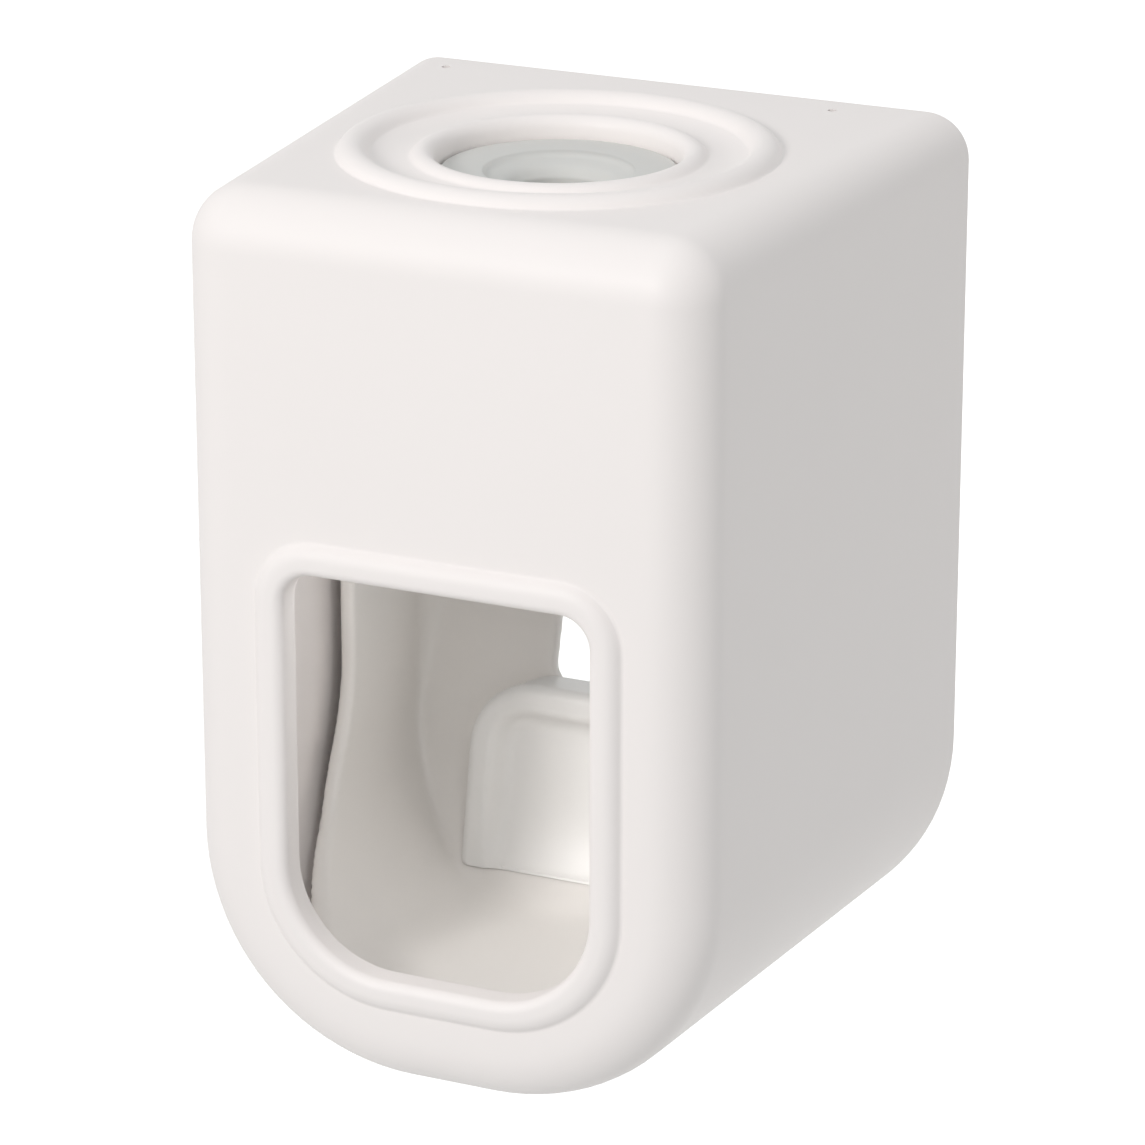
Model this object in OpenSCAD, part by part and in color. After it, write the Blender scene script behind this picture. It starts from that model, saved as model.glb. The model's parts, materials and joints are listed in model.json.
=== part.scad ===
// Wall-hung toothpaste dispenser. The tube stands neck down in the soft seal on
// top. A brush pushed in through the front window swings the lever back, and the
// lever's bar squeezes the pump tube, which drops the paste on the brush.
// X runs to the right, the front faces -Y and Z is up, in millimetres.
// The origin is the middle of the sticky pad's back, where the part meets the wall.
// Inside the modules heights count from the housing's bottom: placed() lowers them.

/* [Housing] */
// Width of the housing at the wall
body_w = 60; // [58:0.5:66]
// Width of the housing at its front face
front_w = 52; // [50:0.5:56]
// Depth from the wall to the front face
body_d = 55; // [54:0.5:60]
// Height of the housing without its raised ring
body_h = 85; // [84:0.5:92]
// Thickness of the moulded wall
wall = 2.4; // [2:0.1:2.6]
// Radius of the two lower corners
foot_r = 22.2; // [18:0.2:24]
// Radius of the two upper edges at the back
top_r = 4.3; // [3.5:0.1:5]
// Radius of the rounded edge round the front
front_r = 5.5; // [4.5:0.1:6]
// Space between the rim and the wall behind it
rim_gap = 0.4; // [0.2:0.1:0.8]

/* [Brush window] */
// Width of the window
window_w = 30.8; // [26:0.2:32]
// Height of the window's lower edge
window_low = 11.3; // [10.5:0.1:12.5]
// Height of the window's upper edge
window_high = 50.1; // [46:0.1:52]
// Radius of the window's lower corners
window_low_r = 10; // [8:0.5:12]
// Radius of the window's upper corners
window_high_r = 3; // [2:0.5:5]
// Width of the bead round the window
bead_w = 3.4; // [3:0.1:3.6]
// How far the bead stands out
bead_proud = 0.95; // [0.7:0.05:1.1]

/* [Tube ring] */
// Distance from the wall to the tube's axis
tube_back = 28.5; // [28:0.1:29.5]
// Radius of the hole for the tube
hole_r = 11.5; // [11:0.1:12]
// Radius of the raised ring's crest
ring_r = 19.1; // [18.5:0.1:19.6]
// Thickness of the ring and the height it stands up
ring_t = 3.2; // [2.8:0.1:3.4]
// Height of the ring over the top
ring_proud = 1.1; // [0.8:0.1:1.3]
// Thickness of the rolled lip at the hole
lip_t = 2.5; // [2.2:0.1:2.8]
// Depth of the dished band inside the ring
dish_depth = 0.5; // [0.3:0.1:0.7]

/* [Tube seal] */
// Radius of the bore that grips the tube's nozzle
nozzle_r = 4; // [3.5:0.1:4.6]
// Wall of the soft neck round that bore
neck_wall = 2; // [1.5:0.1:2.5]
// Length of that neck below the flange
neck_l = 4.4; // [3:0.1:4.6]
// Depth of the seal's face below the top
seal_sunk = 1.8; // [1.5:0.1:2.1]
// Radius of the clamped flange
flange_r = 14.3; // [13.6:0.1:14.8]
// Thickness of the clamped flange
flange_t = 1.5; // [1.2:0.1:1.8]

/* [Pump] */
// Outside radius of the soft pump tube
pump_r = 8; // [7.4:0.1:8.6]
// Wall of the pump tube
pump_wall = 1.6; // [1.3:0.1:1.9]
// Length of the pump tube
pump_l = 19.8; // [19:0.1:20.4]
// Length of each spigot in the pump tube
spigot_l = 3.8; // [3:0.1:4.4]
// Radius of the outlet bore
outlet_r = 3; // [2.4:0.1:3.3]
// Length of the outlet valve's beak
beak_l = 3.4; // [3:0.1:3.8]

/* [Carrier] */
// Thickness of the carrier's top plate
plate_t = 2.4; // [2:0.1:2.8]
// Distance of the screws from the tube's axis, along X and Y
screw_pitch = 15.5; // [15.3:0.1:15.9]
// Radius of the screw shanks
screw_r = 1.1; // [1:0.05:1.3]
// Thickness of the web behind the pump tube
anvil_t = 3; // [2.6:0.1:3.4]
// Thickness of the shelf below the pump tube
shelf_t = 2.2; // [2:0.1:2.4]
// Thickness of the panel that hangs on the wall plate
panel_t = 1.7; // [1.5:0.1:1.9]
// Width of that panel
panel_w = 32; // [28:0.5:33]

/* [Hinge] */
// Distance from the wall to the hinge axis
hinge_back = 30; // [29.5:0.1:31]
// Depth of the hinge axis below the carrier's plate
hinge_drop = 2.1; // [2:0.1:2.4]
// Radius of the hinge pins
pin_r = 2; // [1.8:0.1:2.2]
// Running clearance round the pins
pin_fit = 0.05; // [0.03:0.01:0.08]
// Thickness of the carrier's ears
ear_t = 2.2; // [2:0.1:2.3]
// Radius of the return springs at the middle of the wire
spring_r = 3.4; // [3.2:0.1:3.6]
// Diameter of the spring wire
wire_d = 0.7; // [0.6:0.05:0.75]
// Advance of the spring in one turn
spring_pitch = 1.15; // [1.12:0.01:1.18]

/* [Push lever] */
// Space between the lever's wings and the housing
wing_gap = 1.5; // [1.3:0.1:1.7]
// Thickness of the wings
wing_t = 1.5; // [1.4:0.1:1.7]
// Thickness of the lever's floor and back
lever_t = 1.8; // [1.6:0.1:2]
// Distance from the wall to the lever's front end
lever_reach = 50; // [49:0.1:50.6]
// Distance from the wall to the lever's back
lever_back = 6.7; // [6.5:0.1:7.2]
// Radius of the upright corners at the lever's back
corner_r = 6; // [4:0.5:8]
// Height of the wings' front ends
wing_low_h = 12; // [11:0.1:13]
// Radius of the sweep from the wings' front ends up to the arms
sweep_r = 14; // [12:0.2:15]
// Radius of the scoop at the lever's back
scoop_r = 13; // [11:0.2:14]
// Width of the notch in the lever's back
notch_w = 18.8; // [14:0.2:20]
// Height of that notch's lower edge
notch_h = 24.6; // [23.6:0.1:26]

/* [Push pad] */
// Width of the pad
pad_w = 30.4; // [28:0.2:32]
// Height of the pad's top
pad_top = 26.8; // [25:0.1:27.2]
// Distance from the wall to the pad's face at its foot
pad_reach = 20.3; // [20:0.1:21.5]
// Backward lean of the pad in degrees
pad_lean = 10.4; // [8:0.2:11]
// Width of the pad's raised rim
pad_rim = 3; // [2.4:0.1:3.6]
// Depth of the dish in the pad
pad_dish = 1.8; // [1.2:0.1:2]

/* [Wall plate] */
// Depth of the sticky pad's middle below the top
plate_drop = 24; // [23:0.5:25]
// Width of the wall plate
plate_w = 31; // [28:0.5:32]
// Height of the wall plate
plate_l = 34; // [32:0.5:35]
// Thickness of the wall plate
wall_plate_t = 2; // [1.6:0.1:2.2]
// Thickness of the sticky pad
tape_t = 1; // [0.6:0.1:1.2]
// Width of each hook
hook_w = 3; // [2.4:0.2:4]
// Distance of the hooks from the middle line
hook_x = 10.5; // [9:0.5:11]

/* [Hidden] */
$fn = 64;
hull_fn = 36;
slice = 0.02;
fit_gap = 0.3;
snug = 0.05;
seat_gap = 0.1;
bead_bite = 0.2;
through = 1;

// Places that several pieces share
tube_y = -tube_back;
hinge_y = -hinge_back;
plate_h = body_h - plate_drop;
top_inside = body_h - wall;
boss_r = 3.2;
boss_l = 4;
boss_low = top_inside - boss_l;
screw_head_r = 2.4;
screw_head_t = 1.4;
screw_blind = 0.4;
lip_r = hole_r + lip_t / 2 - 0.15;
lip_proud = 0.3;

// The pump, from the top down
seal_top = body_h - seal_sunk;
seal_flange_low = top_inside - seat_gap - flange_t;
collar_top = seal_flange_low - seat_gap;
plate_top = boss_low - seat_gap;
plate_low = plate_top - plate_t;
collar_barrel_r = 10.4;
cup_r = 9.2;
spigot_r = pump_r - pump_wall - snug;
spigot_wall = 1.25;
barrel_drop = 1.7;
web_top = plate_low - barrel_drop;
web_t = 1.4;
web_low = web_top - web_t;
valve_t = 0.9;
pump_high = web_low - valve_t;
pump_low = pump_high - pump_l;
pump_rim_t = 0.5;
pump_rim_l = 1.8;
stem_r = 1.2;
valve_r = 4.6;
collar_lug_r = 8.6;
collar_lug_t = 1.9;
shelf_top = pump_low - collar_lug_t - 2 * snug;
shelf_low = shelf_top - shelf_t;
outlet_neck_r = 5.6;
outlet_neck_l = 2.4;
outlet_neck_low = shelf_low - outlet_neck_l;
valve_flange_t = 0.45;
cap_web_top = outlet_neck_low - valve_flange_t - snug;
cap_web_t = 1.1;
cap_low = cap_web_top - cap_web_t;
cap_wall = 1.8;
anvil_y = tube_y + pump_r + fit_gap;
relief_r = collar_lug_r + fit_gap;
relief_l = pump_rim_l + pump_rim_t + fit_gap;

// Half of the housing's width at a distance y from the wall
function half_w(y) = (front_w + (body_w - front_w) * (y + body_d) / body_d) / 2;

// Half of the lever's width there
function lever_half(y) = half_w(y) - wall - wing_gap;

// The hinge, from the lever's hubs inwards to the carrier's ears
hinge_h = plate_low - hinge_drop;
hub_r = 5.5;
hub_stand = 1.2;
hub_in = lever_half(hinge_y) - wing_t - hub_stand;
coils = 3;
spring_turns = coils - 0.25;
coil_end_x = hub_in - fit_gap - wire_d / 2;
coil_x = coil_end_x - spring_pitch * spring_turns;
ear_out = coil_x - wire_d / 2 - fit_gap;
ear_in = ear_out - ear_t;
ear_r = 4.6;
plate_half = ear_out;
leg_a = 8;
leg_b = 11;
pin_head_r = 3;
pin_head_t = 1;

// The lever
lever_y = -lever_back;
lever_front_y = -lever_reach;
lever_room_front = 3.3;
lever_room_back = 1.3;
lever_foot_r = foot_r - wall - wing_gap - 1.3;
arm_depth = 20.7;
arm_y = lever_y - arm_depth;
lean_high = 31;
lean_low = 18;
lean_in = 3.5;
back_top = 36;
bar_drop = 15;
bar_y = tube_y - pump_r - fit_gap;
bar_r = 2.6;
bar_h = hinge_h - bar_drop;
bar_boss_r = 5;
peg_r = 1.9;
heel_stand = 1.3;
heel_high = plate_top + heel_stand;
heel_y = hinge_y + hub_r;
buffer_t = 0.8;
stop_y = heel_y + seat_gap + buffer_t;
stop_t = 2.3;

// Height of the lever's underside at a distance y from the wall
function lever_low(y) = wall + lever_room_front
  + (lever_room_back - lever_room_front) * (y - lever_front_y) / (lever_y - lever_front_y);

// The wall plate and the panel that hangs on it
tape_y = -tape_t;
wall_plate_y = tape_y - wall_plate_t;
hang_gap = 0.2;
panel_y = wall_plate_y - hang_gap;
panel_low = plate_h - plate_l / 2 - 1.5;
hook_stem = 3.5;
hook_lip = 2.8;
hook_lip_t = 1.6;
hook_half_pitch = 9;
hook_heights = [plate_h - hook_half_pitch, plate_h + hook_half_pitch];

module placed() translate([0, 0, -plate_h]) children();

// Extrudes an outline drawn in X and Z forwards from y_back
module along_y(y_back, depth)
  translate([0, y_back, 0]) rotate([90, 0, 0]) linear_extrude(depth) children();

// Extrudes an outline drawn in Y and Z to the right from x_start
module along_x(x_start, length)
  translate([x_start, 0, 0]) rotate([90, 0, 90]) linear_extrude(length) children();

// Rod along X between two places
module rod_x(x_start, x_end, y, z, r)
  translate([x_start, y, z]) rotate([0, 90, 0]) cylinder(r = r, h = x_end - x_start);

module both_sides() {
  children();
  mirror([1, 0, 0]) children();
}

// Outline with two radii: true arcs and the polygon between their ends
module round_outline(half, low, high, r_low, r_high) {
  polygon([
    [-half, low + r_low], [-half + r_low, low], [half - r_low, low],
    [half, low + r_low], [half, high - r_high], [half - r_high, high],
    [-half + r_high, high], [-half, high - r_high]
  ]);
  for (s = [-1, 1]) {
    translate([s * (half - r_low), low + r_low]) circle(r_low);
    translate([s * (half - r_high), high - r_high]) circle(r_high);
  }
}

// Housing

// The housing's outer form, drawn in by an inset for the cavity
module shell_form(inset, back_y) {
  edge_y = -body_d + front_r;
  edge_r = front_r - inset;
  hull() {
    for (s = [-1, 1]) {
      translate([s * (half_w(edge_y) - front_r), edge_y, body_h - front_r])
        sphere(edge_r, $fn = hull_fn);
      translate([s * (half_w(edge_y) - foot_r), edge_y, foot_r])
        rotate([90, 0, 0]) rotate_extrude($fn = 2 * hull_fn)
          translate([foot_r - front_r, 0]) circle(edge_r, $fn = hull_fn);
    }
    along_y(back_y, slice)
      round_outline(half_w(back_y) - inset, inset, body_h - inset, foot_r - inset,
        top_r - inset, $fn = 2 * hull_fn);
  }
}

// Raised bead round the window: rods with quarter turns at the corners
module window_bead() {
  r = bead_w / 2;
  half = window_w / 2 + r - bead_bite;
  low = window_low - r + bead_bite;
  high = window_high + r - bead_bite;
  low_r = window_low_r + r - bead_bite;
  high_r = window_high_r + r - bead_bite;
  translate([0, r - bead_proud - body_d, 0]) both_sides() {
    translate([half, 0, low + low_r]) cylinder(r = r, h = high - high_r - low - low_r);
    rod_x(0, half - low_r, 0, low, r);
    rod_x(0, half - high_r, 0, high, r);
    translate([half - low_r, 0, low + low_r]) rotate([90, 0, 0]) rotate([0, 0, -90])
      rotate_extrude(angle = 90) translate([low_r, 0]) circle(r);
    translate([half - high_r, 0, high - high_r]) rotate([90, 0, 0])
      rotate_extrude(angle = 90) translate([high_r, 0]) circle(r);
  }
}

module at_tube() translate([0, tube_y, 0]) children();

// Ring round the tube, its dished band and the rolled lip at the hole
module ring_round(crest_r, thick, proud)
  at_tube() rotate_extrude()
    translate([crest_r, body_h + proud - thick / 2]) circle(thick / 2);

module dish_band() {
  lip_out = hole_r + lip_t / 2;
  // Half of the band's width, and the radius of the arc that dips by dish_depth
  band = (ring_r - ring_t / 2 - lip_out) / 2;
  arc_r = (band * band + dish_depth * dish_depth) / (2 * dish_depth);
  at_tube() rotate_extrude()
    translate([lip_out + band, body_h + arc_r - dish_depth]) circle(arc_r);
}

module at_screws()
  for (x = [-1, 1], y = [-1, 1])
    translate([x * screw_pitch, tube_y + y * screw_pitch, 0]) children();

// Two small witness marks near the back edge of the top
module top_marks() {
  mark_inset = 9.6;
  mark_y = -3.6;
  mark_r = 0.4;
  both_sides() translate([body_w / 2 - mark_inset, mark_y, body_h - mark_r])
    cylinder(r = mark_r, h = through);
}

module housing() color([0.95, 0.94, 0.93]) placed() difference() {
  union() {
    difference() {
      shell_form(0, -rim_gap);
      dish_band();
      shell_form(wall, through);
    }
    window_bead();
    ring_round(ring_r, ring_t, ring_proud);
    ring_round(lip_r, lip_t, lip_proud);
    at_screws() translate([0, 0, boss_low]) cylinder(r = boss_r, h = boss_l + wall / 2);
  }
  along_y(-body_d + wall + bead_w, 2 * (wall + bead_w))
    round_outline(window_w / 2, window_low, window_high, window_low_r, window_high_r);
  at_tube() translate([0, 0, top_inside - through]) cylinder(r = hole_r, h = 3 * wall);
  at_screws() translate([0, 0, boss_low - through])
    cylinder(r = screw_r, h = through + boss_l - screw_blind);
  top_marks();
}

// Tube seal and pump, each a revolved piece on the tube's axis

module tube_seal() color([0.80, 0.80, 0.79]) placed() at_tube() rotate_extrude() {
  face_r = hole_r - 0.2;
  face_edge = 0.3;
  step_r = face_r * 0.63;
  step_t = 0.4;
  funnel_l = 2;
  funnel_w = 0.9;
  polygon([
    [nozzle_r, seal_flange_low - neck_l], [nozzle_r + neck_wall, seal_flange_low - neck_l],
    [nozzle_r + neck_wall, seal_flange_low], [flange_r, seal_flange_low],
    [flange_r, seal_flange_low + flange_t], [face_r, seal_flange_low + flange_t],
    [face_r, seal_top - face_edge], [face_r - face_edge, seal_top], [step_r, seal_top],
    [step_r - face_edge, seal_top - step_t],
    [nozzle_r + funnel_w, seal_top - funnel_l / 2], [nozzle_r, seal_top - funnel_l]
  ]);
}

module inlet_collar() color([0.86, 0.87, 0.86]) placed() at_tube() difference() {
  bore = spigot_r - spigot_wall;
  cup_edge = 0.8;
  hole_count = 6;
  vent_r = 0.85;
  vent_pitch = stem_r + 1.9;
  rotate_extrude() polygon([
    [0, web_low], [bore, web_low], [bore, pump_high - spigot_l], [spigot_r, pump_high - spigot_l],
    [spigot_r, pump_high + snug], [pump_r, pump_high + snug],
    [collar_barrel_r, web_top], [collar_barrel_r, plate_top + snug],
    [flange_r, plate_top + snug], [flange_r, collar_top], [cup_r, collar_top],
    [cup_r, web_top + cup_edge], [cup_r - cup_edge, web_top], [0, web_top]
  ]);
  translate([0, 0, web_low - through]) cylinder(r = stem_r + snug, h = web_t + 2 * through);
  for (i = [1:hole_count]) rotate([0, 0, 360 * i / hole_count])
    translate([vent_pitch, 0, web_low - through]) cylinder(r = vent_r, h = web_t + 2 * through);
}

// Umbrella valve: a soft disc under the web, held by its stem and barb
module inlet_valve() color([0.93, 0.90, 0.84]) placed() at_tube() {
  barb_w = 0.7;
  barb_l = 1.5;
  brim_t = 0.35;
  rotate_extrude() polygon([
    [0, web_low - valve_t - snug], [valve_r / 2, web_low - valve_t], [valve_r, web_low - brim_t],
    [valve_r, web_low], [stem_r, web_low], [stem_r, web_top + snug],
    [stem_r + barb_w, web_top + 2 * snug], [stem_r / 2, web_top + barb_l], [0, web_top + barb_l]
  ]);
}

module squeeze_tube() color([0.88, 0.89, 0.90]) placed() at_tube() rotate_extrude() polygon([
  [pump_r - pump_wall, pump_low], [pump_r + pump_rim_t, pump_low],
  [pump_r + pump_rim_t, pump_low + pump_rim_l], [pump_r, pump_low + pump_rim_l + pump_rim_t],
  [pump_r, pump_high - pump_rim_l - pump_rim_t], [pump_r + pump_rim_t, pump_high - pump_rim_l],
  [pump_r + pump_rim_t, pump_high], [pump_r - pump_wall, pump_high]
]);

module outlet_collar() color([0.86, 0.87, 0.86]) placed() at_tube() {
  bore = spigot_r - spigot_wall;
  funnel_l = 1.4;
  rotate_extrude() polygon([
    [outlet_r, outlet_neck_low], [outlet_neck_r, outlet_neck_low],
    [outlet_neck_r, shelf_top + snug], [collar_lug_r, shelf_top + snug],
    [collar_lug_r, pump_low - snug], [spigot_r, pump_low - snug],
    [spigot_r, pump_low + spigot_l], [bore, pump_low + spigot_l],
    [bore, pump_low + funnel_l], [outlet_r, pump_low]
  ]);
}

// Soft outlet valve: a beak with a slit that opens under pressure
module outlet_valve() color([0.93, 0.90, 0.84]) placed() at_tube() difference() {
  top = outlet_neck_low - snug / 2;
  low = top - beak_l;
  brim_r = outlet_neck_r - 0.1;
  skin = 0.5;
  tip_r = outlet_r - 1.3;
  slit_w = 0.3;
  slit_l = tip_r * 1.4;
  rotate_extrude() polygon([
    [outlet_r - skin, top], [brim_r, top], [brim_r, top - valve_flange_t],
    [outlet_r, top - valve_flange_t], [outlet_r - skin / 2, top - beak_l / 2],
    [tip_r, low], [0, low], [0, low + skin], [tip_r - skin / 2, top - beak_l / 2]
  ]);
  translate([-slit_l / 2, -slit_w / 2, low - through]) cube([slit_l, slit_w, 2 * through]);
}

module nozzle_cap() color([0.93, 0.93, 0.92]) placed() at_tube() {
  cap_in = outlet_neck_r + snug;
  cap_r = cap_in + cap_wall;
  cap_edge = 1;
  rotate_extrude() polygon([
    [outlet_r + fit_gap, cap_low], [cap_r - cap_edge, cap_low], [cap_r, cap_low + cap_edge],
    [cap_r, shelf_low - seat_gap], [cap_in, shelf_low - seat_gap],
    [cap_in, cap_web_top], [outlet_r + fit_gap, cap_web_top]
  ]);
}

// Carrier: holds the pump and the hinge pins, and hangs on the wall plate

module carrier_plate() {
  front = tube_y - screw_pitch - boss_r;
  lug_r = boss_r + 0.4;
  translate([0, 0, plate_low]) linear_extrude(plate_t) {
    translate([-plate_half, front]) square([2 * plate_half, panel_y - front]);
    for (x = [-1, 1], y = [-1, 1])
      translate([x * screw_pitch, tube_y + y * screw_pitch]) circle(lug_r);
  }
}

// Ear with the hinge bore, and behind it a rest for the spring's short leg
module carrier_ear() {
  rest_high = hinge_h - spring_r - wire_d / 2 - snug;
  rest_l = 3.8;
  rest_t = 2;
  rest_y = hinge_y + leg_a - rest_t;
  along_x(ear_in, ear_t) {
    translate([hinge_y, hinge_h]) circle(ear_r);
    translate([hinge_y - ear_r, hinge_h])
      square([2 * ear_r + rest_l - wire_d, plate_top - hinge_h]);
    translate([hinge_y + ear_r - wire_d, rest_high]) square([rest_l, plate_top - rest_high]);
  }
  translate([ear_out - snug, rest_y, rest_high + wire_d + 2 * snug])
    cube([wire_d + 2 * fit_gap, rest_t - fit_gap, rest_t]);
}

// Stop for the lever's heel, beside the plate
module stop_lug()
  translate([plate_half - snug, stop_y, plate_low])
    cube([lever_half(stop_y) - plate_half, stop_t, plate_t]);

// Web behind the pump tube, cut back where its collars and rims are wider
module anvil() difference() {
  translate([-pump_r, anvil_y, shelf_low])
    cube([2 * pump_r, anvil_t, plate_low + snug - shelf_low]);
  at_tube() {
    translate([0, 0, shelf_top]) cylinder(r = relief_r, h = pump_low + relief_l - shelf_top);
    translate([0, 0, pump_high - relief_l]) cylinder(r = relief_r, h = relief_l + snug);
    translate([0, 0, pump_high])
      cylinder(r = collar_barrel_r + fit_gap, h = plate_low - pump_high + through);
  }
}

module anvil_rib() {
  rib_t = 2;
  rib_x = 4.5;
  rib_low = shelf_top + 9;
  rib_end_l = 6;
  front = anvil_y + anvil_t - snug;
  back = panel_y - panel_t + snug;
  along_x(rib_x, rib_t) polygon([
    [front, rib_low], [back, plate_low - rib_end_l], [back, plate_low + snug],
    [front, plate_low + snug]
  ]);
}

module hook_slots() {
  slot_w = hook_w + 2 * fit_gap;
  slot_rise = 0.2;
  slot_l = hook_stem + hook_lip + slot_rise + 2 * fit_gap;
  for (x = [-1, 1], z = hook_heights)
    translate([x * hook_x - slot_w / 2, panel_y - panel_t - through, z + slot_rise - slot_l])
      cube([slot_w, panel_t + 2 * through, slot_l]);
}

// Shelf that carries the outlet collar
module carrier_shelf() {
  shelf_r = collar_lug_r + 0.9;
  translate([0, 0, shelf_low]) linear_extrude(shelf_t) {
    translate([0, tube_y]) circle(shelf_r);
    translate([-shelf_r, tube_y]) square([2 * shelf_r, anvil_y + anvil_t - tube_y]);
  }
}

module carrier() color([0.84, 0.85, 0.85]) placed() difference() {
  panel_corner_r = 3;
  union() {
    carrier_plate();
    both_sides() {
      carrier_ear();
      stop_lug();
      anvil_rib();
    }
    anvil();
    carrier_shelf();
    // Panel that hangs on the hooks
    along_y(panel_y, panel_t)
      round_outline(panel_w / 2, panel_low, plate_top, panel_corner_r, 1);
  }
  at_tube() {
    translate([0, 0, plate_low - slice])
      cylinder(r = collar_barrel_r + snug, h = plate_t + through);
    translate([0, 0, shelf_low - through])
      cylinder(r = outlet_neck_r + snug, h = shelf_t + 2 * through);
  }
  at_screws() translate([0, 0, plate_low - through])
    cylinder(r = screw_r + fit_gap, h = plate_t + 2 * through);
  rod_x(-ear_out - through, ear_out + through, hinge_y, hinge_h, pin_r + pin_fit);
  // Relief for the pins' heads
  rod_x(-ear_in, ear_in, hinge_y, hinge_h, pin_head_r + fit_gap);
  hook_slots();
}

// Four tapping screws that hold the carrier up to the housing's bosses
module carrier_screws() color([0.70, 0.71, 0.72]) placed() at_screws() difference() {
  cross_w = 0.6;
  cross_l = 2.6;
  cross_t = 0.7;
  union() {
    translate([0, 0, plate_low - screw_head_t]) cylinder(r = screw_head_r, h = screw_head_t);
    translate([0, 0, plate_low - slice])
      cylinder(r = screw_r - snug, h = plate_t + boss_l - 2 * screw_blind);
  }
  for (a = [0, 90]) rotate([0, 0, a])
    translate([-cross_l / 2, -cross_w / 2, plate_low - screw_head_t - slice])
      cube([cross_l, cross_w, cross_t]);
}

// Hinge pins and return springs

module hinge_pin() placed() {
  rod_x(ear_in - pin_head_t, ear_in - snug, hinge_y, hinge_h, pin_head_r);
  rod_x(ear_in - snug - slice, lever_half(hinge_y), hinge_y, hinge_h, pin_r);
}

module pin_left() color([0.75, 0.76, 0.78]) mirror([1, 0, 0]) hinge_pin();
module pin_right() color([0.75, 0.76, 0.78]) hinge_pin();

// Wire centre line of a return spring: short leg, coils round the pin, long leg
coil_sides = 6;
coil_rings = 8;
function coil_point(i) = let (a = 270 - 360 * i / coil_rings) [
  coil_x + spring_pitch * i / coil_rings,
  hinge_y + spring_r * cos(a),
  hinge_h + spring_r * sin(a)
];
spring_steps = spring_turns * coil_rings;
spring_path = concat(
  [coil_point(0) + [0, leg_a, 0], coil_point(0) + [0, leg_a / 2, 0]],
  [for (i = [0:spring_steps]) coil_point(i)],
  [coil_point(spring_steps) - [0, 0, leg_b / 2], coil_point(spring_steps) - [0, 0, leg_b]]
);

module spring_wire() placed() sweep_wire(spring_path, wire_d / 2, coil_sides);

function unit(v) = v / norm(v);

// Rings of points square to the path, with the X axis as their steady side
function wire_ring(path, i, r, sides) = let (
  last = len(path) - 1,
  t = unit(path[min(i + 1, last)] - path[max(i - 1, 0)]),
  across = unit(cross(t, [1, 0, 0])),
  up = cross(t, across)
) [for (k = [0:sides - 1]) path[i] + r * (across * cos(360 * k / sides) + up * sin(360 * k / sides))];

// One unbroken tube of triangles along a path
module sweep_wire(path, r, sides) {
  rings = len(path);
  points = [for (i = [0:rings - 1]) each wire_ring(path, i, r, sides)];
  walls = [for (i = [0:rings - 2], k = [0:sides - 1]) let (
    a = i * sides + k, b = i * sides + (k + 1) % sides
  ) each [[a, b + sides, a + sides], [a, b, b + sides]]];
  foot = [for (k = [1:sides - 2]) [0, k + 1, k]];
  top = [for (k = [1:sides - 2]) let (n = (rings - 1) * sides) [n, n + k, n + k + 1]];
  polyhedron(points, concat(walls, foot, top));
}

// Least gap between neighbouring turns, measured on the path's points
spring_gap = min([for (i = [0:spring_steps - coil_rings + 2], j = [i + coil_rings - 2:spring_steps])
  norm(coil_point(i) - coil_point(j))]) - wire_d;
echo(spring_gap = spring_gap);

module spring_left() color([0.72, 0.73, 0.75]) mirror([1, 0, 0]) spring_wire();
module spring_right() color([0.72, 0.73, 0.75]) spring_wire();

// Push lever: a scoop whose wings run up to the hinge

// Tapered tub that follows the inside of the housing, with round corners at its back
module tub_form(inset_side, inset_low, front_y) {
  r = corner_r - inset_side;
  step = 15;
  hull() {
    tub_slice(front_y, inset_side, inset_low);
    for (a = [0:step:90])
      tub_slice(lever_y - r + r * sin(a), inset_side + r * (1 - cos(a)), inset_low);
  }
}

module tub_slice(y, inset_side, inset_low)
  along_y(y + slice, slice)
    round_outline(lever_half(y) - inset_side, lever_low(y) + inset_low, body_h + foot_r,
      lever_foot_r - inset_side, 1, $fn = 2 * hull_fn);

// Side view of the scoop's back: upright, then leaning in, then round to the floor
module scoop_side(inset, front, high) {
  lean = atan2(lean_in, lean_high - lean_low);
  low_y = lever_y - lean_in;
  // Middle of the round: it touches the leaning line and the floor
  mid_z = wall + lever_room_back + scoop_r;
  along = (mid_z - lean_low - scoop_r * sin(lean)) / cos(lean);
  mid_y = low_y - scoop_r * cos(lean) + along * sin(lean);
  r = scoop_r - inset;
  end = [mid_y + r * cos(lean), mid_z - r * sin(lean)];
  translate([mid_y, mid_z]) circle(r);
  polygon([
    [front, mid_z - r], [mid_y, mid_z - r], [mid_y, mid_z], end,
    [lever_y - inset, lean_high - inset * tan(lean / 2)], [lever_y - inset, high],
    [front, high]
  ]);
}

// Side view of the wings and arms
module arm_side() {
  sweep_y = arm_y - sweep_r;
  sweep_z = wing_low_h + sweep_r;
  bar_front = bar_y - bar_r - bar_boss_r * 0.8;
  bar_half = bar_boss_r * 0.72;
  hub_front = hinge_y - hub_r * 0.8;
  neck_l = 13;
  rear_top = hinge_h - 24;
  difference() {
    polygon([
      [lever_front_y, 0], [lever_front_y, wing_low_h], [sweep_y, wing_low_h],
      [arm_y, sweep_z], [arm_y, bar_h - neck_l], [bar_front, bar_h - bar_half],
      [bar_front, bar_h + bar_half], [hub_front, hinge_h + bar_half],
      [hinge_y, heel_high], [heel_y, heel_high], [heel_y, hinge_h - pin_r],
      [lever_y, rear_top], [lever_y, 0]
    ]);
    translate([sweep_y, sweep_z]) circle(sweep_r);
  }
  translate([hinge_y, hinge_h]) circle(hub_r);
  translate([bar_y - bar_r, bar_h]) circle(bar_boss_r);
}

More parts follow.
